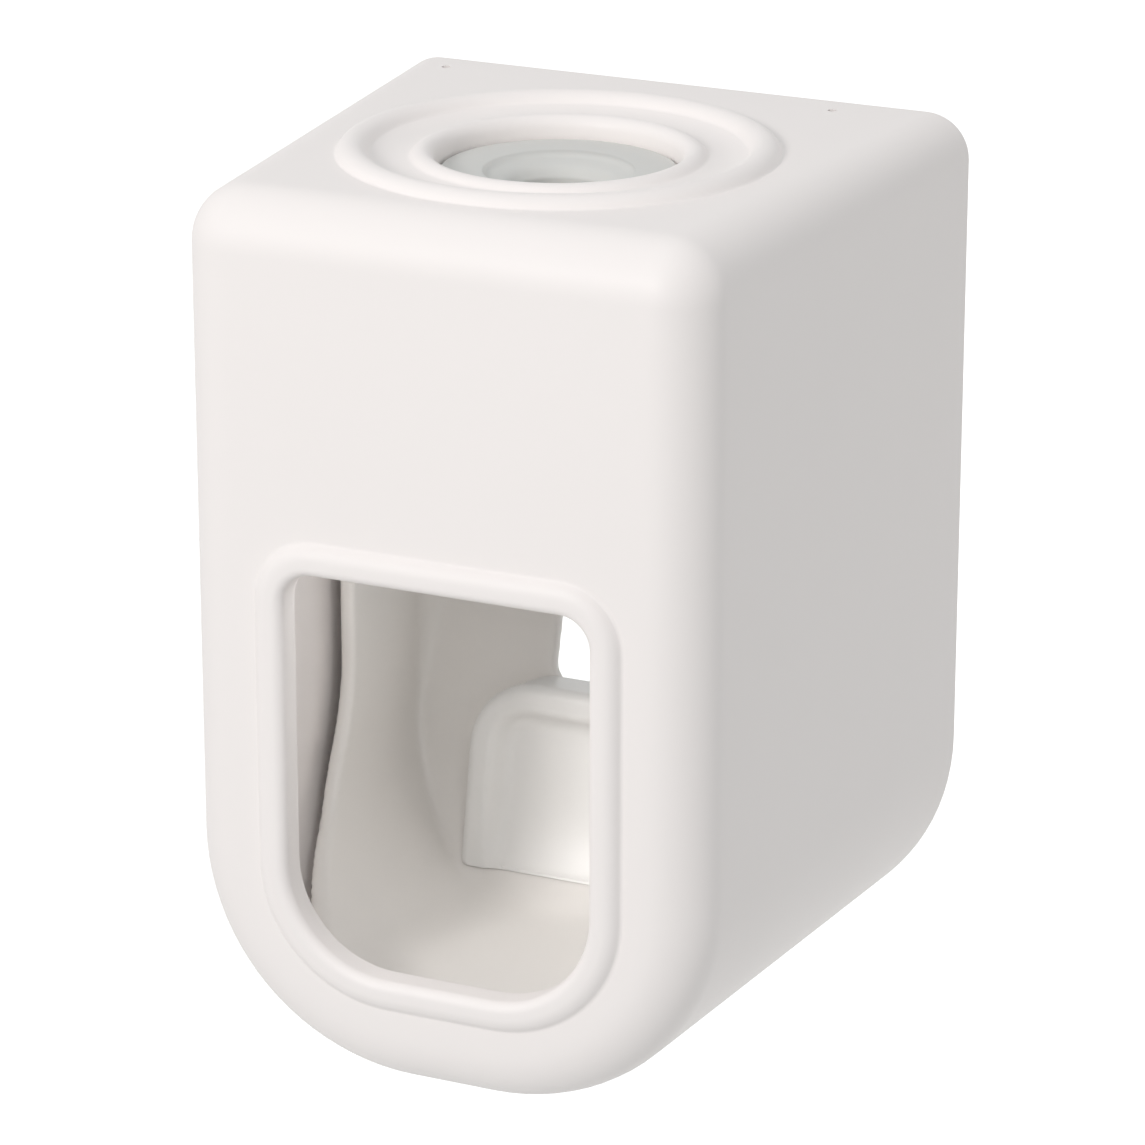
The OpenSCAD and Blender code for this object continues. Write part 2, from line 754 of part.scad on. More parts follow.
// Cuts that leave only the arms above the back, and the notch in the back
module back_cuts() {
  back_half = lever_half(lever_y) - corner_r + 1;
  notch_corner_r = 2;
  cut_l = corner_r + lever_t;
  translate([-back_half, lever_y - cut_l / 2, back_top]) cube([2 * back_half, cut_l, body_h]);
  along_y(lever_y + through, cut_l)
    round_outline(notch_w / 2, notch_h, body_h, notch_corner_r, 1);
}

module push_lever() color([0.82, 0.81, 0.80]) placed() difference() {
  union() {
    intersection() {
      difference() {
        intersection() {
          tub_form(0, 0, lever_front_y);
          along_x(-body_w / 2, body_w) scoop_side(0, lever_front_y, body_h);
        }
        intersection() {
          tub_form(wing_t, lever_t, lever_front_y - through);
          along_x(-body_w / 2, body_w)
            scoop_side(lever_t, lever_front_y - through, body_h + through);
        }
      }
      along_x(-body_w / 2, body_w) arm_side();
    }
    both_sides() {
      rod_x(hub_in, lever_half(hinge_y) - wing_t / 2, hinge_y, hinge_h, hub_r - 0.5);
      spring_peg();
    }
  }
  back_cuts();
  rod_x(-body_w, body_w, hinge_y, hinge_h, pin_r + pin_fit);
  rod_x(-body_w, body_w, bar_y - bar_r, bar_h, peg_r + snug);
  pad_pegs(snug);
}

// Peg on each arm that the spring's long leg pushes on
module spring_peg() {
  peg_r = 1.2;
  peg_y = hinge_y + spring_r - wire_d / 2 - snug - peg_r;
  peg_h = hinge_h - leg_b + peg_r;
  rod_x(coil_end_x - wire_d, lever_half(peg_y) - wing_t / 2, peg_y, peg_h, peg_r);
}

// Push pad: a cap with an arched rim, whose dished face runs out at the foot

// Frame of the pad: its face leans back, with its foot at the origin
module at_pad() translate([0, -pad_reach, pad_foot]) rotate([-pad_lean, 0, 0]) children();
pad_foot = lever_low(-pad_reach) + lever_t + seat_gap;
pad_l = (pad_top - pad_foot) / cos(pad_lean);
pad_thick = 12;
pad_top_r = 6;
pad_foot_r = 1;
pad_peg_r = 1.4;

module pad_block()
  translate([0, pad_thick, 0]) rotate([90, 0, 0]) linear_extrude(pad_thick)
    round_outline(pad_w / 2, 0, pad_l, pad_foot_r, pad_top_r);

// The dish: a trough with round sides, inside the rim and open at the foot
module pad_trough() {
  half = pad_w / 2 - pad_rim;
  side = half * 0.45;
  r = (side * side + pad_dish * pad_dish) / (2 * pad_dish);
  top_r = pad_top_r - pad_rim;
  intersection() {
    translate([0, r, 0]) rotate([90, 0, 0]) linear_extrude(2 * r)
      round_outline(half, -pad_l, pad_l - pad_rim, top_r, top_r);
    translate([0, 0, -pad_l]) linear_extrude(3 * pad_l) {
      for (s = [-1, 1]) translate([s * (half - side), pad_dish - r]) circle(r);
      translate([side - half, pad_dish - 2 * r]) square([2 * (half - side), 2 * r]);
    }
  }
}

// Pegs that hold the pad in the lever's back
module pad_pegs(clear)
  at_pad() for (s = [-1, 1])
    translate([s * (pad_w / 2 - pad_rim / 2), pad_dish + 1, pad_l / 2]) rotate([-90, 0, 0])
      cylinder(r = pad_peg_r + clear, h = pad_thick);

module push_pad() color([0.90, 0.89, 0.87]) placed() {
  skin = 1.9;
  fit = 0.1;
  core_r = 2;
  intersection() {
    difference() {
      at_pad() pad_block();
      at_pad() pad_trough();
      // Hollow behind the face
      at_pad() translate([0, pad_thick + skin + pad_dish, 0]) rotate([90, 0, 0])
        linear_extrude(pad_thick)
          round_outline(pad_w / 2 - pad_rim, pad_rim, pad_l - pad_rim, core_r, core_r);
    }
    tub_form(wing_t + fit, lever_t + fit, lever_front_y);
    along_x(-body_w / 2, body_w) scoop_side(lever_t + fit, lever_front_y, body_h);
  }
  intersection() {
    pad_pegs(0);
    along_x(-body_w / 2, body_w) scoop_side(fit_gap, lever_front_y, body_h);
  }
}

// Press bar between the arms: a round nose on a web, with a peg at each end
module press_bar() color([0.84, 0.85, 0.85]) placed() {
  nose_y = bar_y - bar_r;
  half = lever_half(nose_y) - wing_t - fit_gap;
  web_l = 2 * bar_r + 0.2;
  rod_x(-half, half, nose_y, bar_h, bar_r);
  translate([-half, nose_y - bar_r, bar_h - web_l / 2]) cube([2 * half, bar_r, web_l]);
  rod_x(-half - wing_t, half + wing_t, nose_y, bar_h, peg_r);
}

// Two soft buffers on the stops, which quiet the lever as it springs back
module lever_buffers() color([0.35, 0.36, 0.37]) placed() both_sides() {
  edge = 0.2;
  inset = 1;
  low_x = hub_in + inset;
  translate([low_x, stop_y - buffer_t + snug, plate_low + edge])
    cube([lever_half(stop_y) - inset - low_x, buffer_t - snug, plate_t - 2 * edge]);
}

// Wall plate with four hooks, and the sticky pad behind it

module plate_outline(inset) {
  r = 4 - inset;
  round_outline(plate_w / 2 - inset, plate_h - plate_l / 2 + inset, plate_h + plate_l / 2 - inset, r, r);
}

module hook(z) {
  stem_l = panel_t + hang_gap + fit_gap;
  translate([-hook_w / 2, wall_plate_y - stem_l, z - hook_stem])
    cube([hook_w, stem_l + snug, hook_stem]);
  translate([-hook_w / 2, wall_plate_y - stem_l - hook_lip_t, z - hook_stem])
    cube([hook_w, hook_lip_t + snug, hook_stem + hook_lip]);
}

module wall_plate() color([0.90, 0.91, 0.91]) placed() {
  opening_margin = 1;
  opening_r = 3;
  difference() {
    along_y(tape_y, wall_plate_t) plate_outline(0);
    // Window in the middle that saves material
    along_y(tape_y + through, wall_plate_t + 2 * through)
      round_outline(hook_x - hook_w - opening_margin, plate_h - hook_half_pitch + opening_margin,
        plate_h + hook_half_pitch - opening_margin, opening_r, opening_r);
  }
  for (x = [-1, 1], z = hook_heights) translate([x * hook_x, 0, 0]) hook(z);
}

module adhesive_pad() color([0.55, 0.57, 0.60]) placed() {
  tape_inset = 0.5;
  along_y(0, tape_t) plate_outline(tape_inset);
}

adhesive_pad();
wall_plate();
housing();
carrier();
carrier_screws();
tube_seal();
inlet_collar();
inlet_valve();
squeeze_tube();
outlet_collar();
outlet_valve();
nozzle_cap();
pin_left();
pin_right();
spring_left();
spring_right();
push_lever();
push_pad();
press_bar();
lever_buffers();
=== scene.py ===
# %% [markdown]
# # A wall-hung toothpaste dispenser
# The construction model gives every piece its place. This lesson dresses it: smooth
# moulded shells, turned silicone parts, wound springs and the studio around them.
# Everything is in metres in the record's own frame. The sizes below are written in
# millimetres, with heights counted from the housing's bottom, as in the construction.

# %% Load the construction model
import json
import math
import bpy
import bmesh
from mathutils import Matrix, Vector, geometry


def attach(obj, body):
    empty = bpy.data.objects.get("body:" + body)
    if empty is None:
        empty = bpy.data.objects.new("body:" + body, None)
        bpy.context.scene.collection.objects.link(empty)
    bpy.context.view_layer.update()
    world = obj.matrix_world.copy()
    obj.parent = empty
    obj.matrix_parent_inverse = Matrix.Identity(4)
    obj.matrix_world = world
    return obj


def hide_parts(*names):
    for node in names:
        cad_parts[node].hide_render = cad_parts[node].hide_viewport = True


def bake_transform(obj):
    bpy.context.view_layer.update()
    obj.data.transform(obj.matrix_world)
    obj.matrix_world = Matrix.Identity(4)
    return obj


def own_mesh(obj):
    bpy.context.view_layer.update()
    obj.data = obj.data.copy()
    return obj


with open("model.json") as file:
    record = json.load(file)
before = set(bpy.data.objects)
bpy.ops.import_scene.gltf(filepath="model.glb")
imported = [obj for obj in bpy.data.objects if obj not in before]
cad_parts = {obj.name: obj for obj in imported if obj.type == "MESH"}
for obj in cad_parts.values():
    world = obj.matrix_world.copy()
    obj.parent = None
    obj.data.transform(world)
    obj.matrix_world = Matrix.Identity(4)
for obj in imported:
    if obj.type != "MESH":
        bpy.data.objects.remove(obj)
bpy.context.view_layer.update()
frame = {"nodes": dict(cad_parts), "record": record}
node_body = {node: body for body, nodes in frame["record"]["behaviour"]["bodies"].items()
             for node in nodes}

# %% [markdown]
# ## Units
# One helper moves a place from millimetres above the housing's bottom to the frame,
# whose origin is the middle of the sticky pad's back.

# %% Units and the sizes that the pieces share
MM = 0.001
PLATE_H = 61.0
BODY_W, FRONT_W, BODY_D, BODY_H, WALL = 60.0, 52.0, 55.0, 85.0, 2.4
FOOT_R, TOP_R, FRONT_R, RIM_GAP = 22.2, 4.3, 5.5, 0.4
TUBE_Y, HINGE_Y, HINGE_H = -28.5, -30.0, 74.0


def to_frame(x, y, z):
    return Vector((x * MM, y * MM, (z - PLATE_H) * MM))


def half_w(y):
    return (FRONT_W + (BODY_W - FRONT_W) * (y + BODY_D) / BODY_D) / 2


print("half width at the front and at the wall:", half_w(-BODY_D), half_w(0))

# %% [markdown]
# ## The camera first
# The photograph looks down from the front right with a long lens. The angles, the
# distance and the lens come from fitting a pinhole camera to the housing's corners.

# %% Camera at the photograph's place
AZIMUTH, ELEVATION, DISTANCE = math.radians(24.80), math.radians(19.445), 498.29
FOCAL_PX, PHOTO_PX, SENSOR = 5240.88, 1145, 36
BODY_MIDDLE = Vector((0, -BODY_D / 2, BODY_H / 2))
look = Vector((math.sin(AZIMUTH) * math.cos(ELEVATION),
               -math.cos(AZIMUTH) * math.cos(ELEVATION), math.sin(ELEVATION)))
right = Vector((math.cos(AZIMUTH), math.sin(AZIMUTH), 0))
up = look.cross(right)
aim = BODY_MIDDLE + right * 0.853 + up * 0.877
camera_data = bpy.data.cameras.new("photo_camera")
camera_data.sensor_width = SENSOR
camera_data.lens = FOCAL_PX / PHOTO_PX * SENSOR
camera_data.clip_start = 0.01
camera = bpy.data.objects.new("photo_camera", camera_data)
bpy.context.collection.objects.link(camera)
camera.location = to_frame(*(aim + look * DISTANCE))
camera.rotation_euler = (math.pi / 2 - ELEVATION, 0, AZIMUTH)
bpy.context.scene.camera = camera
print("camera at", [round(v, 4) for v in camera.location], "lens", round(camera_data.lens, 1))

# %% [markdown]
# ## Plastic that isn't dead flat
# Moulded plastic has a faint orange-peel skin, a slow drift in colour and a gloss that
# varies a little. One node group makes these for every material, so each material only
# sets its own amounts. The group puts out a colour, a value and a normal, no shader.

# %% Group for skin: colour drift, gloss drift and the orange-peel normal


def new_group(name, inputs, outputs):
    tree = bpy.data.node_groups.new(name, "ShaderNodeTree")
    for label, kind, value in inputs:
        socket = tree.interface.new_socket(label, in_out="INPUT", socket_type=kind)
        socket.default_value = value
    for label, kind in outputs:
        tree.interface.new_socket(label, in_out="OUTPUT", socket_type=kind)
    return tree, tree.nodes.new("NodeGroupInput"), tree.nodes.new("NodeGroupOutput")


def noise_node(tree, vector, scale, detail):
    node = tree.nodes.new("ShaderNodeTexNoise")
    node.inputs["Scale"].default_value = scale
    node.inputs["Detail"].default_value = detail
    tree.links.new(vector, node.inputs["Vector"])
    return node.outputs["Fac"]


def moulded_skin_group():
    tree, given, out = new_group(
        "moulded_skin",
        [("Base", "NodeSocketColor", (0.8, 0.8, 0.8, 1)),
         ("Tint", "NodeSocketColor", (0.8, 0.8, 0.8, 1)),
         ("Gloss", "NodeSocketFloat", 0.3), ("Gloss drift", "NodeSocketFloat", 0.05),
         ("Peel", "NodeSocketFloat", 0.05), ("Peel scale", "NodeSocketFloat", 900.0)],
        [("Color", "NodeSocketColor"), ("Roughness", "NodeSocketFloat"),
         ("Normal", "NodeSocketVector")])
    place = tree.nodes.new("ShaderNodeTexCoord").outputs["Object"]
    drift = noise_node(tree, place, 28.0, 2.0)
    mix = tree.nodes.new("ShaderNodeMix")
    mix.data_type = "RGBA"
    tree.links.new(drift, mix.inputs["Factor"])
    tree.links.new(given.outputs["Base"], mix.inputs["A"])
    tree.links.new(given.outputs["Tint"], mix.inputs["B"])
    tree.links.new(mix.outputs["Result"], out.inputs["Color"])
    gloss = tree.nodes.new("ShaderNodeMath")
    gloss.operation = "MULTIPLY_ADD"
    tree.links.new(noise_node(tree, place, 160.0, 3.0), gloss.inputs[0])
    tree.links.new(given.outputs["Gloss drift"], gloss.inputs[1])
    tree.links.new(given.outputs["Gloss"], gloss.inputs[2])
    tree.links.new(gloss.outputs[0], out.inputs["Roughness"])
    peel = tree.nodes.new("ShaderNodeTexNoise")
    peel.inputs["Detail"].default_value = 1.0
    tree.links.new(place, peel.inputs["Vector"])
    tree.links.new(given.outputs["Peel scale"], peel.inputs["Scale"])
    bump = tree.nodes.new("ShaderNodeBump")
    bump.inputs["Distance"].default_value = 0.0001
    tree.links.new(given.outputs["Peel"], bump.inputs["Strength"])
    tree.links.new(peel.outputs["Fac"], bump.inputs["Height"])
    tree.links.new(bump.outputs["Normal"], out.inputs["Normal"])
    return tree


moulded_skin = moulded_skin_group()
print("group made:", moulded_skin.name)

# %% [markdown]
# ## The materials
# Each finish is one short call: a name, two close colours to drift between, the gloss
# and how far it varies, then the strength and scale of the skin. The white shell is
# satin, the lever is a shade warmer and smoother, and the pad smoother still. Silicone
# lets some light in, rubber and foam are rough, and steel is metallic.

# %% Materials


def finish(name, base, tint, gloss, drift=0.05, peel=0.05, peel_scale=900.0,
           metallic=0.0, coat=0.0, subsurface=0.0):
    material = bpy.data.materials.new(name)
    material.use_nodes = True
    tree = material.node_tree
    shader = tree.nodes["Principled BSDF"]
    skin = tree.nodes.new("ShaderNodeGroup")
    skin.node_tree = moulded_skin
    for label, value in (("Base", (*base, 1)), ("Tint", (*tint, 1)), ("Gloss", gloss),
                         ("Gloss drift", drift), ("Peel", peel), ("Peel scale", peel_scale)):
        skin.inputs[label].default_value = value
    tree.links.new(skin.outputs["Color"], shader.inputs["Base Color"])
    tree.links.new(skin.outputs["Roughness"], shader.inputs["Roughness"])
    tree.links.new(skin.outputs["Normal"], shader.inputs["Normal"])
    shader.inputs["Metallic"].default_value = metallic
    shader.inputs["Coat Weight"].default_value = coat
    shader.inputs["Coat Roughness"].default_value = 0.25
    shader.inputs["Subsurface Weight"].default_value = subsurface
    shader.inputs["Subsurface Radius"].default_value = (1.0, 0.8, 0.7)
    shader.inputs["Subsurface Scale"].default_value = 0.002
    return material


SHELL = finish("white_shell_plastic", (0.915, 0.872, 0.855), (0.925, 0.885, 0.87), 0.56,
               peel=0.03, coat=0.05)
LEVER = finish("lever_plastic", (0.90, 0.875, 0.845), (0.915, 0.89, 0.86), 0.40,
               peel=0.04, coat=0.15)
PAD = finish("pad_plastic", (0.885, 0.88, 0.865), (0.90, 0.895, 0.88), 0.34,
             peel=0.02, coat=0.15)
INNER = finish("carrier_plastic", (0.68, 0.69, 0.69), (0.72, 0.73, 0.73), 0.48,
               drift=0.08, peel=0.12, peel_scale=1400.0)
SEAL = finish("grey_silicone", (0.64, 0.64, 0.62), (0.68, 0.68, 0.66), 0.55,
              drift=0.1, peel=0.03, peel_scale=1600.0, subsurface=0.1)
TUBE = finish("milky_silicone", (0.72, 0.74, 0.76), (0.78, 0.80, 0.82), 0.40,
              drift=0.08, peel=0.06, subsurface=0.3)
VALVE = finish("cream_silicone", (0.80, 0.74, 0.62), (0.84, 0.78, 0.66), 0.45,
               drift=0.08, peel=0.06, subsurface=0.2)
BUFFER = finish("dark_rubber", (0.06, 0.062, 0.066), (0.08, 0.082, 0.086), 0.62,
                drift=0.12, peel=0.2, peel_scale=2200.0)
TAPE = finish("foam_tape", (0.24, 0.26, 0.29), (0.30, 0.32, 0.35), 0.85,
              drift=0.1, peel=0.5, peel_scale=2600.0)
STEEL = finish("plated_steel", (0.60, 0.61, 0.63), (0.66, 0.67, 0.69), 0.26,
               drift=0.12, peel=0.04, metallic=1.0)
WIRE = finish("spring_wire", (0.52, 0.53, 0.55), (0.60, 0.61, 0.63), 0.22,
              drift=0.10, peel=0.04, metallic=1.0)
print("materials:", len(bpy.data.materials))

# %% [markdown]
# ## From points to a piece
# Every piece made here ends as a plain mesh at the origin. Shading is smooth, except
# across edges sharper than a given angle, and large flat faces get the last word on the
# normals, so that a flat side stays flat right up to its rounding.

# %% Making and finishing a mesh


def mesh_piece(name, points, faces, material, sharp):
    mesh = bpy.data.meshes.new(name)
    mesh.from_pydata([tuple(p) for p in points], [], faces)
    piece = bpy.data.objects.new(name, mesh)
    bpy.context.collection.objects.link(piece)
    return flats_lead(smooth_piece(piece, material, sharp))


def smooth_piece(piece, material, sharp):
    """Merges loose corners, turns faces outwards and shades all but the sharp edges."""
    mesh = piece.data
    work = bmesh.new()
    work.from_mesh(mesh)
    bmesh.ops.remove_doubles(work, verts=work.verts, dist=2e-6)
    bmesh.ops.dissolve_degenerate(work, edges=work.edges, dist=1e-6)
    bmesh.ops.recalc_face_normals(work, faces=work.faces)
    work.to_mesh(mesh)
    work.free()
    mesh.polygons.foreach_set("use_smooth", [True] * len(mesh.polygons))
    mesh.set_sharp_from_angle(angle=math.radians(sharp))
    mesh.materials.clear()
    mesh.materials.append(material)
    return piece


def flats_lead(piece):
    """Lets large flat faces decide the normals along their edges."""
    modifier = piece.modifiers.new("flat_faces_lead", "WEIGHTED_NORMAL")
    modifier.keep_sharp, modifier.weight = True, 80
    return settle(piece)


def settle(piece):
    """Turns a piece's live modifiers into a plain mesh."""
    graph = bpy.context.evaluated_depsgraph_get()
    graph.update()
    mesh = bpy.data.meshes.new_from_object(piece.evaluated_get(graph))
    piece.modifiers.clear()
    piece.data = mesh
    return piece


def hand_over(piece, slot, *nodes, twist=None):
    """The piece stands for its nodes and rides on their body; given twist ends, it is only baked in
    place and rides on no body.
    """
    if twist:
        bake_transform(piece)
    else:
        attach(piece, node_body[nodes[0]])
    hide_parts(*nodes)
    print(piece.name, "faces:", len(piece.data.polygons))


print("nodes to dress:", len(node_body))

# %% [markdown]
# ## Shapes from a rule
# The lever, its pad and the screws are drawn by Geometry Nodes. Each is written as a
# distance: how far a point lies outside the piece, in millimetres, and less than nought
# inside. Distances can be joined, cut and rounded with plain sums, which gives the soft
# fillets of a moulded piece. A volume holds the distance and its zero surface is the mesh.

# %% Sums on distances


class Field:
    """A number in a node tree that differs from place to place."""

    def __init__(self, tree, socket):
        self.tree, self.socket = tree, socket

    def math(self, operation, *others):
        node = self.tree.nodes.new("ShaderNodeMath")
        node.operation = operation
        for slot, value in zip(node.inputs, (self, *others)):
            if isinstance(value, Field):
                self.tree.links.new(value.socket, slot)
            else:
                slot.default_value = value
        return Field(self.tree, node.outputs[0])

    def __add__(self, other):
        return self.math("ADD", other)

    def __sub__(self, other):
        return self.math("SUBTRACT", other)

    def __mul__(self, other):
        return self.math("MULTIPLY", other)

    def __neg__(self):
        return self.math("MULTIPLY", -1.0)

    def size(self):
        return self.math("ABSOLUTE")

    def most(self, other):
        return self.math("MAXIMUM", other)

    def least(self, other):
        return self.math("MINIMUM", other)


def reach(a, b):
    return (a * a + b * b).math("SQRT")


def meet(a, b, r):
    """What lies in both, with the edge between them rounded to r."""
    return a.most(b).least(-r) + reach((a + r).most(0.0), (b + r).most(0.0))


def join(a, b, r):
    """What lies in either, with a fillet of r between them."""
    return -meet(-a, -b, r)


def cut(a, b, r):
    """What lies in a and not in b, with the edge rounded to r."""
    return meet(a, -b, r)


def rod(u, v, r):
    return reach(u, v) - r


print("rounded edge where both distances are nought, r = 1:", round(math.sqrt(2) - 1, 3))

# %% A node group that turns a distance into a mesh


def node_inputs(tree, named):
    """Group inputs with names, each as a Field; the values are set on the modifier."""
    given = tree.nodes.new("NodeGroupInput")
    fields = {}
    for label, value in named.items():
        socket = tree.interface.new_socket(label, in_out="INPUT", socket_type="NodeSocketFloat")
        socket.default_value = value
        fields[label] = Field(tree, given.outputs[label])
    return fields


def places(tree):
    """Where a point lies: x, y and the height over the housing's bottom, in millimetres."""
    position = tree.nodes.new("GeometryNodeInputPosition")
    split = tree.nodes.new("ShaderNodeSeparateXYZ")
    tree.links.new(position.outputs[0], split.inputs[0])
    x, y, z = (Field(tree, out) * (1 / MM) for out in split.outputs)
    return x, y, z + PLATE_H


def close_group(tree, geometry_socket, material):
    """The last steps of every rule: smooth, made real and given its material."""
    tree.interface.new_socket("Geometry", in_out="OUTPUT", socket_type="NodeSocketGeometry")
    for kind in ("GeometryNodeSetShadeSmooth", "GeometryNodeRealizeInstances",
                 "GeometryNodeSetMaterial"):
        step = tree.nodes.new(kind)
        tree.links.new(geometry_socket, step.inputs["Geometry"])
        geometry_socket = step.outputs["Geometry"]
    step.inputs["Material"].default_value = material
    tree.links.new(geometry_socket, tree.nodes.new("NodeGroupOutput").inputs[0])


def grown_piece(name, tree, named, material, sharp):
    """Runs a node group once and keeps the plain mesh that it makes."""
    piece = bpy.data.objects.new(name, bpy.data.meshes.new(name))
    bpy.context.collection.objects.link(piece)
    modifier = piece.modifiers.new(name + "_rule", "NODES")
    modifier.node_group = tree
    for item in tree.interface.items_tree:
        if item.in_out == "INPUT" and item.name in named:
            modifier[item.identifier] = named[item.name]
    return smooth_piece(settle(piece), material, sharp)


NEAR = 0.2


def solid_socket(tree, distance, low, high, voxel, steps=2):
    """The closed surface where the distance is nought, inside a box in millimetres."""
    cube = tree.nodes.new("GeometryNodeVolumeCube")
    for label, corner in (("Min", low), ("Max", high)):
        cube.inputs[label].default_value = to_frame(*corner)
    for axis, start, end in zip("XYZ", low, high):
        cube.inputs["Resolution " + axis].default_value = max(8, round((end - start) / voxel))
    # One inside the skin, less outside it, and nought further out
    density = (-distance * 0.5 + 1.0).most(0.0).least(2.0)
    tree.links.new(density.socket, cube.inputs["Density"])
    skin = tree.nodes.new("GeometryNodeVolumeToMesh")
    skin.inputs["Threshold"].default_value = 1.0
    skin.inputs["Adaptivity"].default_value = 0.0
    tree.links.new(cube.outputs["Volume"], skin.inputs["Volume"])
    # Two light rounds of smoothing take the grid's ripple off the edges
    relaxed = tree.nodes.new("GeometryNodeBlurAttribute")
    relaxed.data_type = "FLOAT_VECTOR"
    relaxed.inputs["Iterations"].default_value = 2
    relaxed.inputs["Weight"].default_value = 0.5
    tree.links.new(tree.nodes.new("GeometryNodeInputPosition").outputs[0], relaxed.inputs["Value"])
    eased = tree.nodes.new("GeometryNodeSetPosition")
    tree.links.new(skin.outputs["Mesh"], eased.inputs["Geometry"])
    tree.links.new(relaxed.outputs[0], eased.inputs["Position"])
    skin_socket = eased.outputs["Geometry"]
    # Then each corner moves along its normal, on to the place where the distance is nought
    for _ in range(steps):
        push = tree.nodes.new("ShaderNodeVectorMath")
        push.operation = "SCALE"
        tree.links.new(tree.nodes.new("GeometryNodeInputNormal").outputs[0], push.inputs[0])
        tree.links.new((distance.most(-NEAR).least(NEAR) * -MM).socket, push.inputs["Scale"])
        landed = tree.nodes.new("GeometryNodeSetPosition")
        tree.links.new(skin_socket, landed.inputs["Geometry"])
        tree.links.new(push.outputs[0], landed.inputs["Offset"])
        skin_socket = landed.outputs["Geometry"]
    return skin_socket


def new_rule(name):
    return bpy.data.node_groups.new(name, "GeometryNodeTree")


def ruled_piece(name, rule_name, sizes, distance, box, voxel, material):
    """Draws one closed piece from its distance function and its named sizes."""
    rule = new_rule(rule_name)
    given = node_inputs(rule, sizes)
    surface = solid_socket(rule, distance(*places(rule), given), *box, voxel)
    close_group(rule, surface, material)
    return grown_piece(name, rule, sizes, material, sharp=75)


print("corners settle from up to", NEAR, "mm off the surface, in each of two steps")

# %% [markdown]
# ## The housing as one loft
# The shell is a U-shaped outline that runs along the depth. Its outline is the same
# closed loop everywhere: only its width, inset and corner radii change. So the whole
# shell is a row of such loops: up the outside, round the front edge, across the face,
# over the bead, through the window and back along the inside. The top gets its ring and
# hole as a turned patch afterwards. This keeps every rounding a true one.

# %% One outline loop
TOP_STEPS, CORNER_STEPS, SIDE_STEPS, FOOT_STEPS, BOTTOM_STEPS = 12, 12, 14, 22, 6


def arc(x, z, r, start, end, steps):
    """Points on a circle, from the start angle up to just before the end."""
    angles = [math.radians(start + (end - start) * i / steps) for i in range(steps)]
    return [(x + r * math.cos(a), z + r * math.sin(a)) for a in angles]


def straight(start, end, steps):
    """Points on a straight line, from the start up to just before the end."""
    return [(start[0] + (end[0] - start[0]) * i / steps,
             start[1] + (end[1] - start[1]) * i / steps) for i in range(steps)]


def outline(half, low, high, r_low, r_high):
    """Points (x, z) of a rounded outline, clockwise from the top's left end."""
    side_top, side_low = high - r_high, low + r_low
    top_x, low_x = half - r_high, half - r_low
    return (straight((-top_x, high), (top_x, high), TOP_STEPS)
            + arc(top_x, side_top, r_high, 90, 0, CORNER_STEPS)
            + straight((half, side_top), (half, side_low), SIDE_STEPS)
            + arc(low_x, side_low, r_low, 0, -90, FOOT_STEPS)
            + straight((low_x, low), (-low_x, low), BOTTOM_STEPS)
            + arc(-low_x, side_low, r_low, -90, -180, FOOT_STEPS)
            + straight((-half, side_low), (-half, side_top), SIDE_STEPS)
            + arc(-top_x, side_top, r_high, 180, 90, CORNER_STEPS))


print("points in a loop:", len(outline(20, 0, 40, 5, 3)))

# %% Loops of the shell
EDGE_Y, RIM_R, ROWS = -BODY_D + FRONT_R, 0.35, 14
WINDOW = {"half": 15.4, "low": 11.3, "high": 50.1, "r_low": 10.0, "r_high": 3.0}
BEAD_R, BEAD_PROUD, BEAD_CREST, BEAD_FILLET, BEAD_ROLL = 1.7, 0.94, 1.5, 0.5, 1.0
BEAD_Y = -BODY_D + BEAD_R - BEAD_PROUD


def shell_loop(y, inset):
    """Outline of the shell at a depth, with corner radii that change along it."""
    along = (y - EDGE_Y) / (-RIM_GAP - EDGE_Y)
    top_r = FRONT_R + (TOP_R - FRONT_R) * max(0.0, along)
    section = outline(half_w(max(y, EDGE_Y)) - inset, inset, BODY_H - inset, FOOT_R - inset,
                      max(top_r - inset, 0.0))
    return [(x, y, z) for x, z in section]


def edge_loops(skin, steps):
    """Loops round the front edge, from the side to the flat face."""
    loops = []
    r = FRONT_R - skin
    for i in range(1, steps + 1):
        turn = math.radians(90 * i / steps)
        inset = FRONT_R - r * math.cos(turn)
        section = outline(half_w(EDGE_Y) - inset, inset, BODY_H - inset, FOOT_R - inset,
                          FRONT_R - inset)
        loops.append([(x, EDGE_Y - r * math.sin(turn), z) for x, z in section])
    return loops


def window_loop(out, y):
    """Outline of the window moved outwards, at a depth."""
    section = outline(WINDOW["half"] + out, WINDOW["low"] - out, WINDOW["high"] + out,
                      WINDOW["r_low"] + out, WINDOW["r_high"] + out)
    return [(x, y, z) for x, z in section]


def bead_profile():
    """(out, y) from the face, up a small fillet, over the bead and into the window."""
    top, quarter = BEAD_Y - BEAD_R, math.radians(90)
    span, drop = BEAD_R + BEAD_FILLET, -BODY_D - BEAD_FILLET - BEAD_Y
    foot = BEAD_CREST + math.sqrt(span * span - drop * drop)
    turn = math.asin(-drop / span)
    profile = [(foot + 1.2, -BODY_D)]
    for i in range(6):
        a = quarter - (quarter - turn) * i / 5
        profile.append((foot - BEAD_FILLET * math.cos(a),
                        -BODY_D - BEAD_FILLET + BEAD_FILLET * math.sin(a)))
    for i in range(1, 9):
        a = turn + (quarter - turn) * i / 8
        profile.append((BEAD_CREST + BEAD_R * math.cos(a), BEAD_Y - BEAD_R * math.sin(a)))
    for i in range(9):
        a = quarter * i / 8
        profile.append((BEAD_ROLL - BEAD_ROLL * math.sin(a),
                        top + BEAD_ROLL - BEAD_ROLL * math.cos(a)))
    return profile


